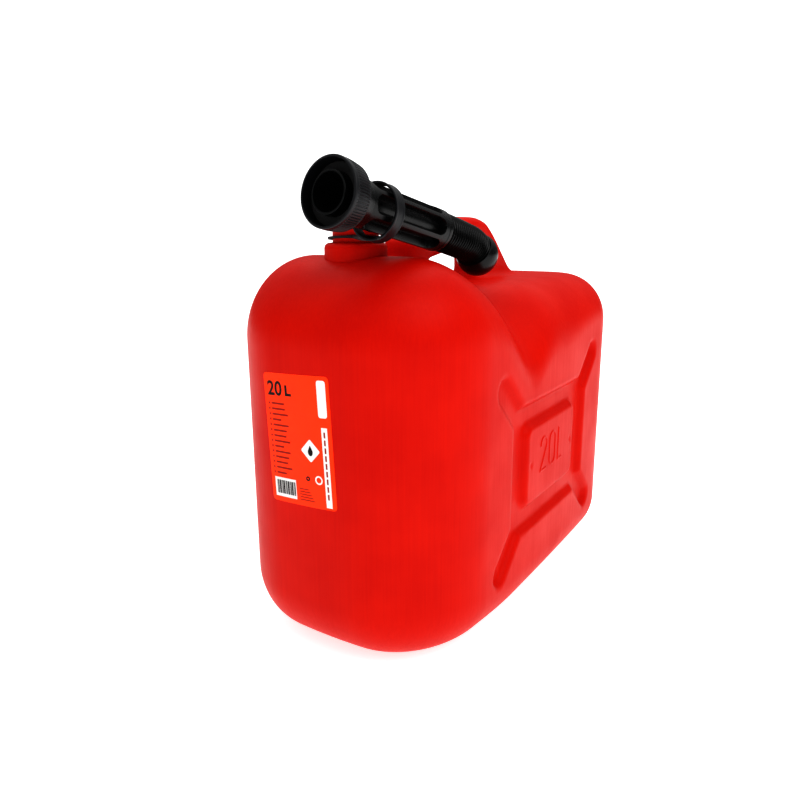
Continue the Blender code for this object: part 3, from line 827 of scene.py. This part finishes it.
@dataclass
class FrontLabel:
    """The printed film on the front face; its print is plain bars, blocks and a capacity figure."""

    shop: Shop
    finishes: Finishes
    form: ShellForm
    width: float = 0.0618
    height: float = 0.0989
    centre: tuple[float, float] = (-0.0072, 0.1792)
    turn: float = math.radians(2.8)
    corner: float = 0.0032
    lift: float = 0.0002
    ink_lift: float = 0.00006
    column: float = 0.004

    def place(self, x: float, z: float, lift: float) -> Vector:
        """Row-frame place of a spot on the label.

        Args:
            x: Distance right of the label's middle.
            z: Distance above the label's middle.
            lift: Height above the face of the can.

        Returns:
            The place on or above the curved front face.
        """
        across = self.centre[0] + x * math.cos(self.turn) - z * math.sin(self.turn)
        up = self.centre[1] + x * math.sin(self.turn) + z * math.cos(self.turn)
        return Vector((across, self.form.front_y(across) - lift, up))

    def lay(self, name: str, flat: bmesh.types.BMesh, low: float, high: float) -> bpy.types.Object:
        """Give a flat drawing its thickness and lay it on the front face.

        Args:
            name: Name of the piece.
            flat: Faces drawn in the plane, in metres from the label's middle.
            low: Height of its back above the can's face.
            high: Height of its front above the can's face.

        Returns:
            The laid piece.
        """
        half = self.width / 2
        steps = math.ceil(half / self.column)
        for column in range(-steps, steps + 1):
            bmesh.ops.bisect_plane(flat, geom=flat.verts[:] + flat.edges[:] + flat.faces[:], dist=TOUCH,
                                   plane_co=(column * self.column, 0, 0), plane_no=(1, 0, 0))
        pushed = bmesh.ops.extrude_face_region(flat, geom=flat.faces[:])["geom"]
        front = {v for v in pushed if isinstance(v, bmesh.types.BMVert)}
        for vertex in flat.verts:
            vertex.co = self.place(vertex.co.x, vertex.co.y, high if vertex in front else low)
        mesh = bpy.data.meshes.new(name)
        flat.to_mesh(mesh)
        flat.free()
        return self.shop.piece(name, mesh)

    def build_film(self) -> bpy.types.Object:
        """Cut the film with rounded corners."""
        flat = bmesh.new()
        rounded_sheet(flat, (0.0, 0.0), self.width, self.height, self.corner)
        return self.lay("label_film", flat, -self.ink_lift, self.lift)

    def figure(self, text: str, size: float, left: float, low: float) -> bmesh.types.BMesh:
        """Draw a plain capacity figure.

        Args:
            text: The figure, such as 20 L.
            size: Height of the letters' body.
            left: Distance of its left edge from the label's middle.
            low: Distance of its foot from the label's middle.

        Returns:
            The filled letters in the plane.
        """
        lettering = bpy.data.curves.new("figure", "FONT")
        lettering.body = text
        lettering.size = size
        lettering.offset = size * 0.022
        lettering.resolution_u = 4
        holder = bpy.data.objects.new("figure", lettering)
        drawn = bmesh.new()
        drawn.from_mesh(bpy.data.meshes.new_from_object(holder))
        bpy.data.objects.remove(holder)
        bmesh.ops.remove_doubles(drawn, verts=drawn.verts, dist=TOUCH)
        bmesh.ops.translate(drawn, vec=(left, low, 0.0), verts=drawn.verts)
        return drawn

    def build_print(self) -> list[bpy.types.Object]:
        """Print the figure, the dark rows, the white blocks and the plain signs."""
        left, top = -self.width / 2, self.height / 2
        black = self.figure("20", 0.0150, left + 0.0032, top - 0.0165)
        bars(black, left + 0.0210, top - 0.0165, 0.0022, 0.0080)
        bars(black, left + 0.0232, top - 0.0165, 0.0038, 0.0020)
        pieces = [self.lay("label_figure", black, 0.0, self.lift + self.ink_lift)]
        rows = bmesh.new()
        for row in range(14):
            down = top - 0.0235 - row * 0.0041
            bars(rows, left + 0.0034, down, 0.0013, 0.0014)
            bars(rows, left + 0.0066, down, 0.0085 + 0.0075 * abs(math.sin(1.9 * row + 0.6)), 0.0014)
        for row in range(5):
            bars(rows, left + 0.0285, -top + 0.0045 + row * 0.0021, 0.0135 - 0.0012 * row, 0.0007)
        strip_left = self.width / 2 - 0.0090
        for dash in range(9):
            bars(rows, strip_left + 0.0018, -top + 0.0080 + dash * 0.0058, 0.0014, 0.0042)
        pieces.append(self.lay("label_rows", rows, 0.0, self.lift + 2 * self.ink_lift))
        white = bmesh.new()
        rounded_sheet(white, (self.width / 2 - 0.0068, top - 0.0165), 0.0078, 0.0270, 0.0020)
        bars(white, strip_left, -top + 0.0018, 0.0052, 0.0600)
        bars(white, left + 0.0036, -top + 0.0040, 0.0215, 0.0150)
        rounded_sheet(white, (0.0105, -0.0060), 0.0125, 0.0125, 0.0012, math.radians(45))
        ring_sheet(white, (0.0165, -0.0275), 0.0034, 0.0022)
        pieces.append(self.lay("label_white", white, 0.0, self.lift + 1.5 * self.ink_lift))
        dark = bmesh.new()
        reach = left + 0.0058
        for line in range(14):
            thick = 0.0004 + 0.0005 * ((line * 7) % 3)
            bars(dark, reach, -top + 0.0065, thick, 0.0105)
            reach += thick + 0.0004 + 0.0002 * ((line * 5) % 2)
        drop_sheet(dark, (0.0105, -0.0068), 0.0030)
        ring_sheet(dark, (0.0065, -0.0275), 0.0018, 0.0008)
        pieces.append(self.lay("label_signs", dark, 0.0, self.lift + 3 * self.ink_lift))
        return pieces

    def build(self) -> None:
        """Build, dress and place the label."""
        film = self.build_film()
        self.finishes.dress(film, LABEL_FILM)
        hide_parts("front_label")
        pieces = self.build_print()
        for piece, ink in zip(pieces, (BLACK_INK, BROWN_INK, WHITE_INK, BLACK_INK)):
            self.finishes.dress(piece, ink)
        for piece in [film, *pieces]:
            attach(piece, "can")


def bars(sheet: bmesh.types.BMesh, left: float, low: float, width: float, height: float) -> None:
    """Add one plain rectangle to a flat drawing."""
    corners = ((left, low), (left + width, low), (left + width, low + height), (left, low + height))
    sheet.faces.new([sheet.verts.new((x, y, 0.0)) for x, y in corners])


def rounded_sheet(sheet: bmesh.types.BMesh, centre: tuple[float, float], width: float, height: float,
                  corner: float, turn: float = 0.0) -> None:
    """Add a rectangle with round corners to a flat drawing.

    Args:
        sheet: The flat drawing.
        centre: Middle of the rectangle.
        width: Its full width.
        height: Its full height.
        corner: Radius of its corners.
        turn: Angle it is turned by, in radians.
    """
    points = []
    for quarter, (side, rise) in enumerate(((1, 1), (-1, 1), (-1, -1), (1, -1))):
        for step in range(7):
            angle = (quarter + step / 6) * math.pi / 2
            x = side * (width / 2 - corner) + corner * math.cos(angle)
            y = rise * (height / 2 - corner) + corner * math.sin(angle)
            points.append((centre[0] + x * math.cos(turn) - y * math.sin(turn),
                           centre[1] + x * math.sin(turn) + y * math.cos(turn)))
    sheet.faces.new([sheet.verts.new((x, y, 0.0)) for x, y in points])


def ring_sheet(sheet: bmesh.types.BMesh, centre: tuple[float, float], outer: float, inner: float) -> None:
    """Add a plain flat ring to a flat drawing."""
    count = 24
    loops = [[sheet.verts.new((centre[0] + radius * math.cos(2 * math.pi * i / count),
                               centre[1] + radius * math.sin(2 * math.pi * i / count), 0.0))
              for i in range(count)] for radius in (outer, inner)]
    for i in range(count):
        j = (i + 1) % count
        sheet.faces.new((loops[0][i], loops[0][j], loops[1][j], loops[1][i]))


def drop_sheet(sheet: bmesh.types.BMesh, centre: tuple[float, float], radius: float) -> None:
    """Add a plain drop, round below and pointed above, to a flat drawing."""
    points = []
    for step in range(24):
        angle = 2 * math.pi * step / 24 + math.pi / 2
        rise = max(0.0, math.sin(angle)) ** 3
        points.append((centre[0] + radius * 0.72 * math.cos(angle) * (1 - 0.55 * rise),
                       centre[1] + radius * (math.sin(angle) * (1 + 0.6 * rise))))
    sheet.faces.new([sheet.verts.new((x, y, 0.0)) for x, y in points])


# ---------------------------------------------------------------- cap and spout


def knurl(outer: float, low: float, high: float, count: int, depth: float) -> Relief:
    """Cut fine grooves along the axis into an outer wall.

    Args:
        outer: Radius of the wall.
        low: Height at which the grooves start.
        high: Height at which they end.
        count: Number of grooves round the wall.
        depth: Depth of a groove.

    Returns:
        A relief for a turned piece.
    """
    run_out = 0.7 * MM

    def relief(radius: np.ndarray, height: np.ndarray, angle: np.ndarray) -> np.ndarray:
        """Sink the grooves where the wall lies, with ends that run out."""
        zone = smooth_step((height - low) / run_out) * smooth_step((high - height) / run_out)
        groove = smooth_step(0.5 + 0.9 * np.cos(count * angle))
        return np.where(radius > outer - 0.2 * MM, radius - depth * zone * groove, radius)

    return relief


@dataclass
class ScrewCap:
    """The cap on the neck, and its seal."""

    shop: Shop
    finishes: Finishes
    neck_y: float = -0.1468
    radius: float = 0.0235
    bore: float = 0.0214
    foot: float = 0.3356
    ceiling: float = 0.3549
    top: float = 0.3574
    rim_width: float = 0.0050
    rim_slope: float = 0.0006
    dish_depth: float = 0.0006
    edge_round: float = 0.0016
    rim_round: float = 0.0008
    row_step: float = 0.0011
    grooves: int = 60
    groove_depth: float = 0.0006
    groove_foot: float = 0.0018
    groove_head: float = 0.0022

    def build(self) -> None:
        """Turn the cap with a grooved side and a shallow dished top."""
        rim, dish = self.radius - self.rim_width, self.top - self.dish_depth
        side = filled(rounded([(self.radius, self.foot, 0.0), (self.radius, self.top, self.edge_round),
                               (rim, self.top, self.rim_round), (rim - self.rim_slope, dish, 0),
                               (0.0, dish, 0)], 5), self.row_step)
        inside = [(0.0, self.ceiling), (self.bore, self.ceiling), (self.bore, self.foot)]
        place = Matrix.Translation((0.0, self.neck_y, 0.0))
        relief = knurl(self.radius, self.foot + self.groove_foot, self.top - self.groove_head, self.grooves,
                       self.groove_depth)
        cap = self.shop.turned("screw_cap_skin", inside + side, self.grooves * 6, place, relief)
        self.finishes.dress(cap, BLACK_NUT)
        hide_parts("screw_cap")
        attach(cap, "cap")
        self.finishes.repaint("cap_seal", SEAL_RUBBER)


def spout_frame() -> Matrix:
    """Frame at the middle of the spout's mouth, with Z along the spout, from the CAD's roll joint."""
    joint = next(j for j in frame["record"]["behaviour"]["joints"] if j["name"] == "spout_roll")
    turn = Vector(joint["axis"]).to_track_quat("Z", "Y").to_matrix().to_4x4()
    return Matrix.Translation(joint["pos_m"]) @ turn


@dataclass
class Spout:
    """Union nut, gasket, ribbed rigid part and air tube."""

    shop: Shop
    finishes: Finishes
    length: float = 0.1232
    nut_radius: float = 0.0228
    nut_taper: float = 0.0010
    nut_bore: float = 0.0211
    nut_length: float = 0.0165
    nut_web: float = 0.0140
    nut_lip_round: float = 0.0009
    nut_step_round: float = 0.0030
    nut_rear_edge: float = 0.0018
    nut_clearance: float = 0.0005
    row_step: float = 0.0009
    grooves: int = 72
    groove_depth: float = 0.0006
    groove_from: float = 0.0030
    groove_short: float = 0.0012
    flange_radius: float = 0.0202
    flange_front: float = 0.0098
    flange_back: float = 0.0136
    hub_radius: float = 0.0155
    shoulder_radius: float = 0.0177
    tube_radius: float = 0.0138
    tube_bore: float = 0.0124
    core_radius: float = 0.0094
    core_bore: float = 0.0080
    bar_radius: float = 0.0157
    bar_width: float = 0.0043
    bar_count: int = 6
    slot_start: float = 0.0310
    slot_end: float = 0.1135
    slot_corner: float = 0.0058
    slot_edge: float = 0.0005
    end_rows: int = 24
    end_row_step: float = 0.0004
    middle_rows: int = 18
    plug_start: float = 0.0005
    collar_from: float = 0.0048
    collar_to: float = 0.0038

    def build_nut(self, place: Matrix) -> bpy.types.Object:
        """Turn the nut: a smooth lip, then fine grooves, then a rounded rear edge."""
        rear, end = self.nut_radius - self.nut_taper, self.nut_length
        hole = self.hub_radius + self.nut_clearance
        outer = rounded([(self.nut_bore, 0.0, 0), (self.nut_radius, 0.0, self.nut_lip_round),
                         (self.nut_radius, end * 0.45, self.nut_step_round), (rear, end - 1 * MM, 0.4 * MM),
                         (rear - self.nut_rear_edge, end, 0.8 * MM), (hole, end, 0)], 5)
        inner = rounded([(hole, self.nut_web, 0), (self.nut_bore, self.nut_web, 0.6 * MM),
                         (self.nut_bore, 0.8 * MM, 0)], 3)
        relief = knurl(rear - 0.2 * MM, self.groove_from, end - self.groove_short, self.grooves,
                       self.groove_depth)
        return self.shop.turned("spout_nut_skin", filled(outer, self.row_step) + inner, self.grooves * 6,
                                place, relief)

    def slots(self, radius: np.ndarray, height: np.ndarray, angle: np.ndarray) -> np.ndarray:
        """Sink the long slots with round ends between the bars."""
        pitch = 2 * math.pi / self.bar_count
        across = ((angle + pitch / 2) % pitch - pitch / 2) * self.bar_radius
        half = (pitch * self.bar_radius - self.bar_width) / 2
        middle, reach = (self.slot_start + self.slot_end) / 2, (self.slot_end - self.slot_start) / 2
        edge = rounded_box(across, height - middle, half, reach, self.slot_corner)
        depth = np.maximum(radius - self.core_radius, 0.0) * smooth_step(0.5 - edge / self.slot_edge)
        return np.where(radius > self.core_radius, radius - depth, radius)

    def build_body(self, place: Matrix) -> bpy.types.Object:
        """Turn the rigid part with its plug tube, flange, cone, slotted barrel and end collar."""
        shoulder, soft = self.nut_length, 0.4 * MM
        front = rounded([(self.tube_bore, self.plug_start, 0), (self.tube_radius, self.plug_start, soft),
                         (self.tube_radius, self.flange_front, 0),
                         (self.flange_radius, self.flange_front, soft),
                         (self.flange_radius, self.flange_back, soft), (self.hub_radius, self.flange_back, 0),
                         (self.hub_radius, shoulder + 0.5 * MM, 0),
                         (self.shoulder_radius, shoulder + 1.2 * MM, 0.5 * MM),
                         (self.shoulder_radius - 0.5 * MM, shoulder + 4.5 * MM, 0.8 * MM),
                         (self.bar_radius, self.slot_start - 3.5 * MM, 0)], 4)
        # Rows lie close together at the slots' round ends and wide apart between them.
        close = np.arange(self.end_rows) * self.end_row_step
        rows = np.concatenate([self.slot_start - 3 * MM + close,
                               np.linspace(self.slot_start + 8 * MM, self.slot_end - 8 * MM,
                                           self.middle_rows),
                               self.slot_end - 6.4 * MM + close])
        barrel = [(self.bar_radius, float(height)) for height in rows]
        back = rounded([(self.bar_radius, self.length - self.collar_from, 0),
                        (self.bar_radius - 0.4 * MM, self.length - 4.4 * MM, 0.3 * MM),
                        (self.bar_radius, self.length - self.collar_to, 0.3 * MM),
                        (self.bar_radius, self.length, 1.2 * MM), (self.core_bore, self.length, 0),
                        (self.core_bore, self.flange_back + 6 * MM, 0),
                        (self.tube_bore, self.flange_back, 0)], 4)
        return self.shop.turned("spout_barrel", front + barrel + back, 240, place, self.slots)

    def build(self) -> None:
        """Build and dress the rigid part, the nut and what shows inside them."""
        place = spout_frame()
        nut, body = self.build_nut(place), self.build_body(place)
        for piece, node, rides_on, finish in ((nut, "spout_nut", "nut", BLACK_NUT),
                                              (body, "spout_body", "spout", BLACK_SPOUT)):
            self.finishes.dress(piece, finish)
            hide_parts(node)
            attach(piece, rides_on)
        self.finishes.repaint("spout_gasket", SEAL_RUBBER)
        self.finishes.repaint("vent_tube", BLACK_SPOUT)


def hose_centres(route: Sequence[Vector], along: Vector, count: int) -> tuple[np.ndarray, np.ndarray]:
    """Even places along a smooth curve through the hose's route.

    Args:
        route: The route's own points in the row frame.
        along: Direction in which the hose leaves the rigid part.
        count: Number of places.

    Returns:
        The places and the unit directions there.
    """
    padded = [route[0] - along * 0.02, *route, 2 * route[-1] - route[-2]]
    fine = []
    for index in range(len(route) - 1):
        a, b, c, d = padded[index : index + 4]
        for t in np.linspace(0.0, 1.0, 40, endpoint=index == len(route) - 2):
            fine.append(0.5 * (2 * b + (c - a) * t + (2 * a - 5 * b + 4 * c - d) * t * t
                               + (3 * b - a - 3 * c + d) * t**3))
    track = np.array([list(p) for p in fine])
    reach = np.concatenate([[0.0], np.cumsum(np.linalg.norm(np.diff(track, axis=0), axis=1))])
    even = np.linspace(0.0, reach[-1], count)
    places = np.stack([np.interp(even, reach, track[:, axis]) for axis in range(3)], 1)
    runs = np.gradient(places, axis=0)
    return places, runs / np.linalg.norm(runs, axis=1)[:, None]


@dataclass
class Hose:
    """The corrugated hose, the nozzle in its end and the domed dust cap over both."""

    shop: Shop
    finishes: Finishes
    spout_length: float = 0.1232
    route: tuple[tuple[float, float, float], ...] = (
        (0.0, 0.0, 0.0), (0.0005, 0.0083, -0.0016), (0.0019, 0.0361, -0.0078), (0.0026, 0.0526, -0.0124),
        (0.0028, 0.0639, -0.0201))
    crest: float = 0.0147
    root: float = 0.0122
    bore: float = 0.0098
    ridge_pitch: float = 0.0032
    ridge_start: float = 0.0012
    rings: int = 360
    sides: int = 72
    cap_radius: float = 0.0174
    cap_wall: float = 0.0015
    cap_skirt: float = 0.0045
    cap_steps: int = 20
    bend_reach: float = 0.020

    def centre_line(self, count: int) -> tuple[np.ndarray, np.ndarray]:
        """Even places and directions along the hose."""
        place = spout_frame()
        start = place @ Vector((0.0, 0.0, self.spout_length))
        along = (place.to_3x3() @ Vector((0.0, 0.0, 1.0))).normalized()
        return hose_centres([start + Vector(point) for point in self.route], along, count)

    def build_hose(self) -> bpy.types.Object:
        """Sweep the corrugated wall along the route, outside first and back along the bore."""
        places, runs = self.centre_line(self.rings)
        reach = np.concatenate([[0.0], np.cumsum(np.linalg.norm(np.diff(places, axis=0), axis=1))])
        wave = 0.5 + 0.5 * np.cos(2 * math.pi * (reach - self.ridge_start) / self.ridge_pitch)
        outer = self.root + (self.crest - self.root) * wave
        across = np.cross(np.array([1.0, 0.0, 0.0]), runs)
        across /= np.linalg.norm(across, axis=1)[:, None]
        other = np.cross(runs, across)
        angle = np.linspace(0.0, 2 * math.pi, self.sides, endpoint=False)[None, :, None]
        spokes = across[:, None] * np.cos(angle) + other[:, None] * np.sin(angle)
        wall = places[:, None] + outer[:, None, None] * spokes
        inside = places[:, None] + self.bore * spokes
        points, faces = close_turning(np.concatenate([wall, inside[::-1]]))
        mesh = bpy.data.meshes.new("hose_wall")
        mesh.from_pydata(points.tolist(), [], faces)
        return self.shop.piece("hose_wall", mesh)

    def build_cap(self) -> bpy.types.Object:
        """Turn the domed dust cap with a soft rim."""
        places, runs = self.centre_line(170)
        turn = Vector(runs[-1]).to_track_quat("Z", "Y").to_matrix().to_4x4()
        place = Matrix.Translation(places[-1].tolist()) @ turn
        arcs = [math.radians(90 * step / self.cap_steps) for step in range(self.cap_steps + 1)]
        inner = self.cap_radius - self.cap_wall
        dome = [(self.cap_radius * math.cos(a), self.cap_radius * math.sin(a)) for a in arcs]
        hollow = [(inner * math.cos(a), inner * math.sin(a)) for a in arcs[::-1]]
        mouth, rim_low = self.crest + 0.3 * MM, -8 * MM
        rim = rounded([(mouth, -self.cap_skirt, 0), (mouth, rim_low, 0.3 * MM),
                       (self.crest + 0.9 * MM, rim_low, 0.4 * MM), (self.cap_radius, -3 * MM, 2.6 * MM),
                       (self.cap_radius, 0.0, 0)], 6)
        profile = rim[:-1] + dome + hollow + [(inner, -self.cap_skirt)]
        return self.shop.turned("dust_cap_skin", profile, 96, place)

    def build(self) -> None:
        """Build and dress the flexible end; the hose is swept once along a fixed route between the rigid part
        and the nozzle.
        """
        hose, cap = self.build_hose(), self.build_cap()
        self.finishes.dress(hose, BLACK_HOSE)
        self.finishes.dress(cap, BLACK_HOSE)
        along = spout_frame().to_3x3() @ Vector((0.0, 0.0, self.bend_reach))
        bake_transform(hose)
        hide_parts("corrugated_hose")
        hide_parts("dust_cap")
        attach(cap, "nozzle_end")
        self.finishes.repaint("nozzle", BLACK_SPOUT)


@dataclass
class Keeper:
    """The keeper strap: a thin ring on the neck, a band round the spout, and a low bridge between them."""

    shop: Shop
    finishes: Finishes
    bore: float = 0.0187
    radius: float = 0.0210
    thickness: float = 0.0018
    band_bore: float = 0.0181
    band_radius: float = 0.0199
    band: float = 0.0093
    neck: tuple[float, float, float] = (0.0, -0.1468, 0.3222)
    tilt: float = math.radians(4.0)
    high_side: tuple[float, float] = (0.542, -0.840)
    band_at: float = 0.0502
    band_drop: float = 0.0020
    leaves_at: tuple[float, float, float] = (-1.90, -1.45, -1.05)
    joins_at: tuple[float, float, float] = (math.radians(-72.0), math.radians(-52.0), math.radians(-30.0))
    dip: float = 0.0002
    strap_rise: float = 0.0014
    strap_half_share: float = 0.42
    strap_flatness: float = 1.3
    strap_sides: int = 16
    edge_round: float = 0.0005
    steps: int = 60

    def ring_frame(self) -> Matrix:
        """Frame of the tilted ring on the neck."""
        hinge_line = Vector((-self.high_side[1], self.high_side[0], 0.0))
        return Matrix.Translation(self.neck) @ Matrix.Rotation(-self.tilt, 4, hinge_line)

    def band_frame(self) -> Matrix:
        """Frame of the band, which hangs on the spout's bars."""
        place = spout_frame() @ Matrix.Translation((0.0, 0.0, self.band_at))
        return Matrix.Translation((0.0, 0.0, -self.band_drop)) @ place

    def build_ring(self) -> bpy.types.Object:
        """Turn the flat ring with soft edges."""
        half = self.thickness / 2
        outline = rounded([(self.bore, 0.0, 0), (self.bore, -half, 0.4 * MM),
                           (self.radius, -half, self.edge_round), (self.radius, half, self.edge_round),
                           (self.bore, half, 0.4 * MM), (self.bore, 0.1 * MM, 0)], 4)
        return self.shop.turned("keeper_ring", outline, 96, self.ring_frame())

    def build_band(self) -> bpy.types.Object:
        """Turn the upright band with a raised lip at each edge."""
        half, lip = self.band / 2, 1 * MM
        inner, outer = self.band_bore, self.band_radius
        waist, corner, soft = outer - 0.4 * MM, 0.6 * MM, self.edge_round
        outline = rounded([(inner, 0.0, 0), (inner, -half, soft), (outer, -half, corner),
                           (outer, -half + lip, 0.3 * MM), (waist, -half + 2 * lip, 0.4 * MM),
                           (waist, half - 2 * lip, 0.4 * MM), (outer, half - lip, 0.3 * MM),
                           (outer, half, corner), (inner, half, soft), (inner, 0.1 * MM, 0)], 4)
        return self.shop.turned("keeper_band", outline, 128, self.band_frame())

    def strap_route(self) -> tuple[list[Vector], Vector]:
        """Lead the strap off the ring's rim, past the collar and up the band's front edge.

        Returns:
            The route's points, and the direction in which it leaves the ring.
        """
        ring, band = self.ring_frame(), self.band_frame()
        middle, hoop = (self.bore + self.radius) / 2, (self.band_bore + self.band_radius) / 2
        rim = [ring @ Vector((middle * math.cos(a), middle * math.sin(a), 0.0)) for a in self.leaves_at]
        across = band.to_3x3() @ Vector((0.0, 0.0, 1.0))
        edge = band.translation - across * (self.band / 2 - self.thickness / 2)
        side = across.cross(Vector((0.0, 0.0, 1.0))).normalized()
        lift = side.cross(across)
        joins = [edge + (side * math.cos(a) + lift * math.sin(a)) * hoop for a in self.joins_at]
        low = rim[-1].lerp(joins[0], 0.5) - Vector((0.0, 0.0, self.dip))
        return [*rim, low, *joins], (rim[1] - rim[0]).normalized()

    def build_bridge(self) -> bpy.types.Object:
        """Sweep the strap, thin at its ends and taller between them.

        Returns:
            The strap as one closed body.
        """
        route, along = self.strap_route()
        places, runs = hose_centres(route, along, self.steps)
        side = np.cross(runs, np.array([0.0, 0.0, 1.0]))
        side /= np.linalg.norm(side, axis=1)[:, None]
        lift = np.cross(side, runs)
        share = np.linspace(0.0, 1.0, self.steps)
        swell = self.strap_rise * np.sin(math.pi * share) ** 2
        tall = (self.thickness * self.strap_half_share + swell)[:, None, None]
        angle = np.linspace(0.0, 2 * math.pi, self.strap_sides, endpoint=False)[None, :, None]
        rows = (places[:, None] + side[:, None] * np.cos(angle) * self.thickness * 0.5
                + lift[:, None] * np.clip(self.strap_flatness * np.sin(angle), -1.0, 1.0) * tall)
        ends = [np.repeat(places[end][None, None], self.strap_sides, axis=1) for end in (0, -1)]
        points, faces = close_strip(np.concatenate([ends[0], rows, ends[1]]))
        mesh = bpy.data.meshes.new("keeper_bridge")
        mesh.from_pydata(points.tolist(), [], faces)
        return self.shop.piece("keeper_bridge", mesh)

    def build(self) -> None:
        """Build and dress the strap."""
        pieces = [self.build_ring(), self.build_band(), self.build_bridge()]
        for piece in pieces:
            self.finishes.dress(piece, BLACK_NUT)
            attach(piece, "keeper")
        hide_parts("spout_keeper")


def close_strip(rows: np.ndarray) -> tuple[np.ndarray, list[list[int]]]:
    """Skin an open strip of rings whose first and last ring are single points."""
    points, faces = close_turning(rows)
    kept = [face for face in faces if not {0, len(points) - 1} <= set(face)]
    return points, kept


# ---------------------------------------------------------------- studio


@dataclass(frozen=True)
class Studio:
    """A plain pale floor, soft light from above and the right, and the camera."""

    camera_place: tuple[float, float, float] = (0.31995, -0.58280, 0.33007)
    azimuth: float = math.radians(32.8378)
    elevation: float = math.radians(13.8245)
    roll: float = math.radians(-0.3352)
    lens: float = 31.626
    sensor: float = 36.0
    floor_radius: float = 14.0
    wall_light: float = 0.10
    ceiling_light: float = 0.78
    floor_light: float = 0.50
    backdrop_light: float = 1.1

    def build_camera(self) -> None:
        """Aim the camera down at the can from its front right."""
        ahead = Vector((-math.sin(self.azimuth) * math.cos(self.elevation),
                        math.cos(self.azimuth) * math.cos(self.elevation), -math.sin(self.elevation)))
        camera = bpy.data.cameras.new("studio_camera")
        camera.lens = self.lens
        camera.sensor_width = self.sensor
        camera.clip_start = 0.01
        holder = bpy.data.objects.new("studio_camera", camera)
        bpy.context.scene.collection.objects.link(holder)
        turn = ahead.to_track_quat("-Z", "Y").to_matrix().to_4x4() @ Matrix.Rotation(self.roll, 4, "Z")
        holder.matrix_world = Matrix.Translation(self.camera_place) @ turn
        bpy.context.scene.camera = holder

    def build_floor(self) -> None:
        """Lay a round matt floor, faintly lit from within, wide enough to meet the white surroundings."""
        disc = bmesh.new()
        bmesh.ops.create_circle(disc, cap_ends=True, segments=96, radius=self.floor_radius)
        mesh = bpy.data.meshes.new("studio_floor")
        disc.to_mesh(mesh)
        disc.free()
        floor = bpy.data.objects.new("studio_floor", mesh)
        floor.location.z = -0.2 * MM
        bpy.context.scene.collection.objects.link(floor)
        paint = bpy.data.materials.new("matt white paint")
        paint.use_nodes = True
        shader = paint.node_tree.nodes["Principled BSDF"]
        shader.inputs["Base Color"].default_value = linear("#F6F6F6")
        shader.inputs["Roughness"].default_value = 0.9
        shader.inputs["Specular IOR Level"].default_value = 0.1
        shader.inputs["Emission Color"].default_value = (1.0, 1.0, 1.0, 1.0)
        shader.inputs["Emission Strength"].default_value = self.floor_light
        mesh.materials.append(paint)

    def build_world(self) -> None:
        """Surround the can with soft light that is brighter above than at the sides."""
        world = bpy.data.worlds.new("soft white room")
        world.use_nodes = True
        tree = world.node_tree
        room = tree.nodes["Background"]
        way = add_node(tree, "ShaderNodeTexCoord").outputs["Generated"]
        height = add_node(tree, "ShaderNodeSeparateXYZ", None, {"Vector": way}).outputs["Z"]
        light = add_node(tree, "ShaderNodeMapRange", {"interpolation_type": "SMOOTHSTEP", "From Min": 0.0,
                                                       "From Max": 0.9, "To Min": self.wall_light,
                                                       "To Max": self.ceiling_light}, {"Value": height})
        seen = add_node(tree, "ShaderNodeLightPath").outputs["Is Camera Ray"]
        strength = add_node(tree, "ShaderNodeMix", None, {"Factor": seen, "A": light.outputs["Result"]})
        strength.inputs["B"].default_value = self.backdrop_light
        tree.links.new(strength.outputs["Result"], room.inputs["Strength"])
        room.inputs["Color"].default_value = (1.0, 1.0, 1.0, 1.0)
        bpy.context.scene.world = world

    def build_lamp(self, name: str, place: Sequence[float], aim: Sequence[float], size: float,
                   power: float) -> None:
        """Hang a square softbox.

        Args:
            name: Name of the lamp.
            place: Where it hangs.
            aim: What it points at.
            size: Width of its face.
            power: Power in watts.
        """
        lamp = bpy.data.lights.new(name, "AREA")
        lamp.size = size
        lamp.energy = power
        holder = bpy.data.objects.new(name, lamp)
        bpy.context.scene.collection.objects.link(holder)
        ahead = (Vector(aim) - Vector(place)).normalized()
        holder.matrix_world = Matrix.Translation(place) @ ahead.to_track_quat("-Z", "Y").to_matrix().to_4x4()

    def build(self) -> None:
        """Set the whole studio up."""
        self.build_camera()
        self.build_floor()
        self.build_world()
        self.build_lamp("softbox_right", (1.5, -0.5, 1.5), (0.0, 0.0, 0.15), 1.2, 10.5)
        self.build_lamp("softbox_above", (-0.3, 0.4, 1.8), (0.0, 0.0, 0.2), 1.4, 7.0)
        bpy.context.scene.view_settings.view_transform = "Standard"
        bpy.context.scene.view_settings.look = "High Contrast"


def main() -> None:
    """Build the can, its fittings and the studio, and note the sizes."""
    logging.basicConfig(level=logging.INFO, format="%(name)s %(message)s")
    shop, finishes = Shop(), Finishes()
    shell = CanShell(shop, finishes)
    shell.build()
    FrontLabel(shop, finishes, shell.form).build()
    ScrewCap(shop, finishes).build()
    Keeper(shop, finishes).build()
    Spout(shop, finishes).build()
    Hose(shop, finishes).build()
    Studio().build()


if __name__ == "__main__":
    main()
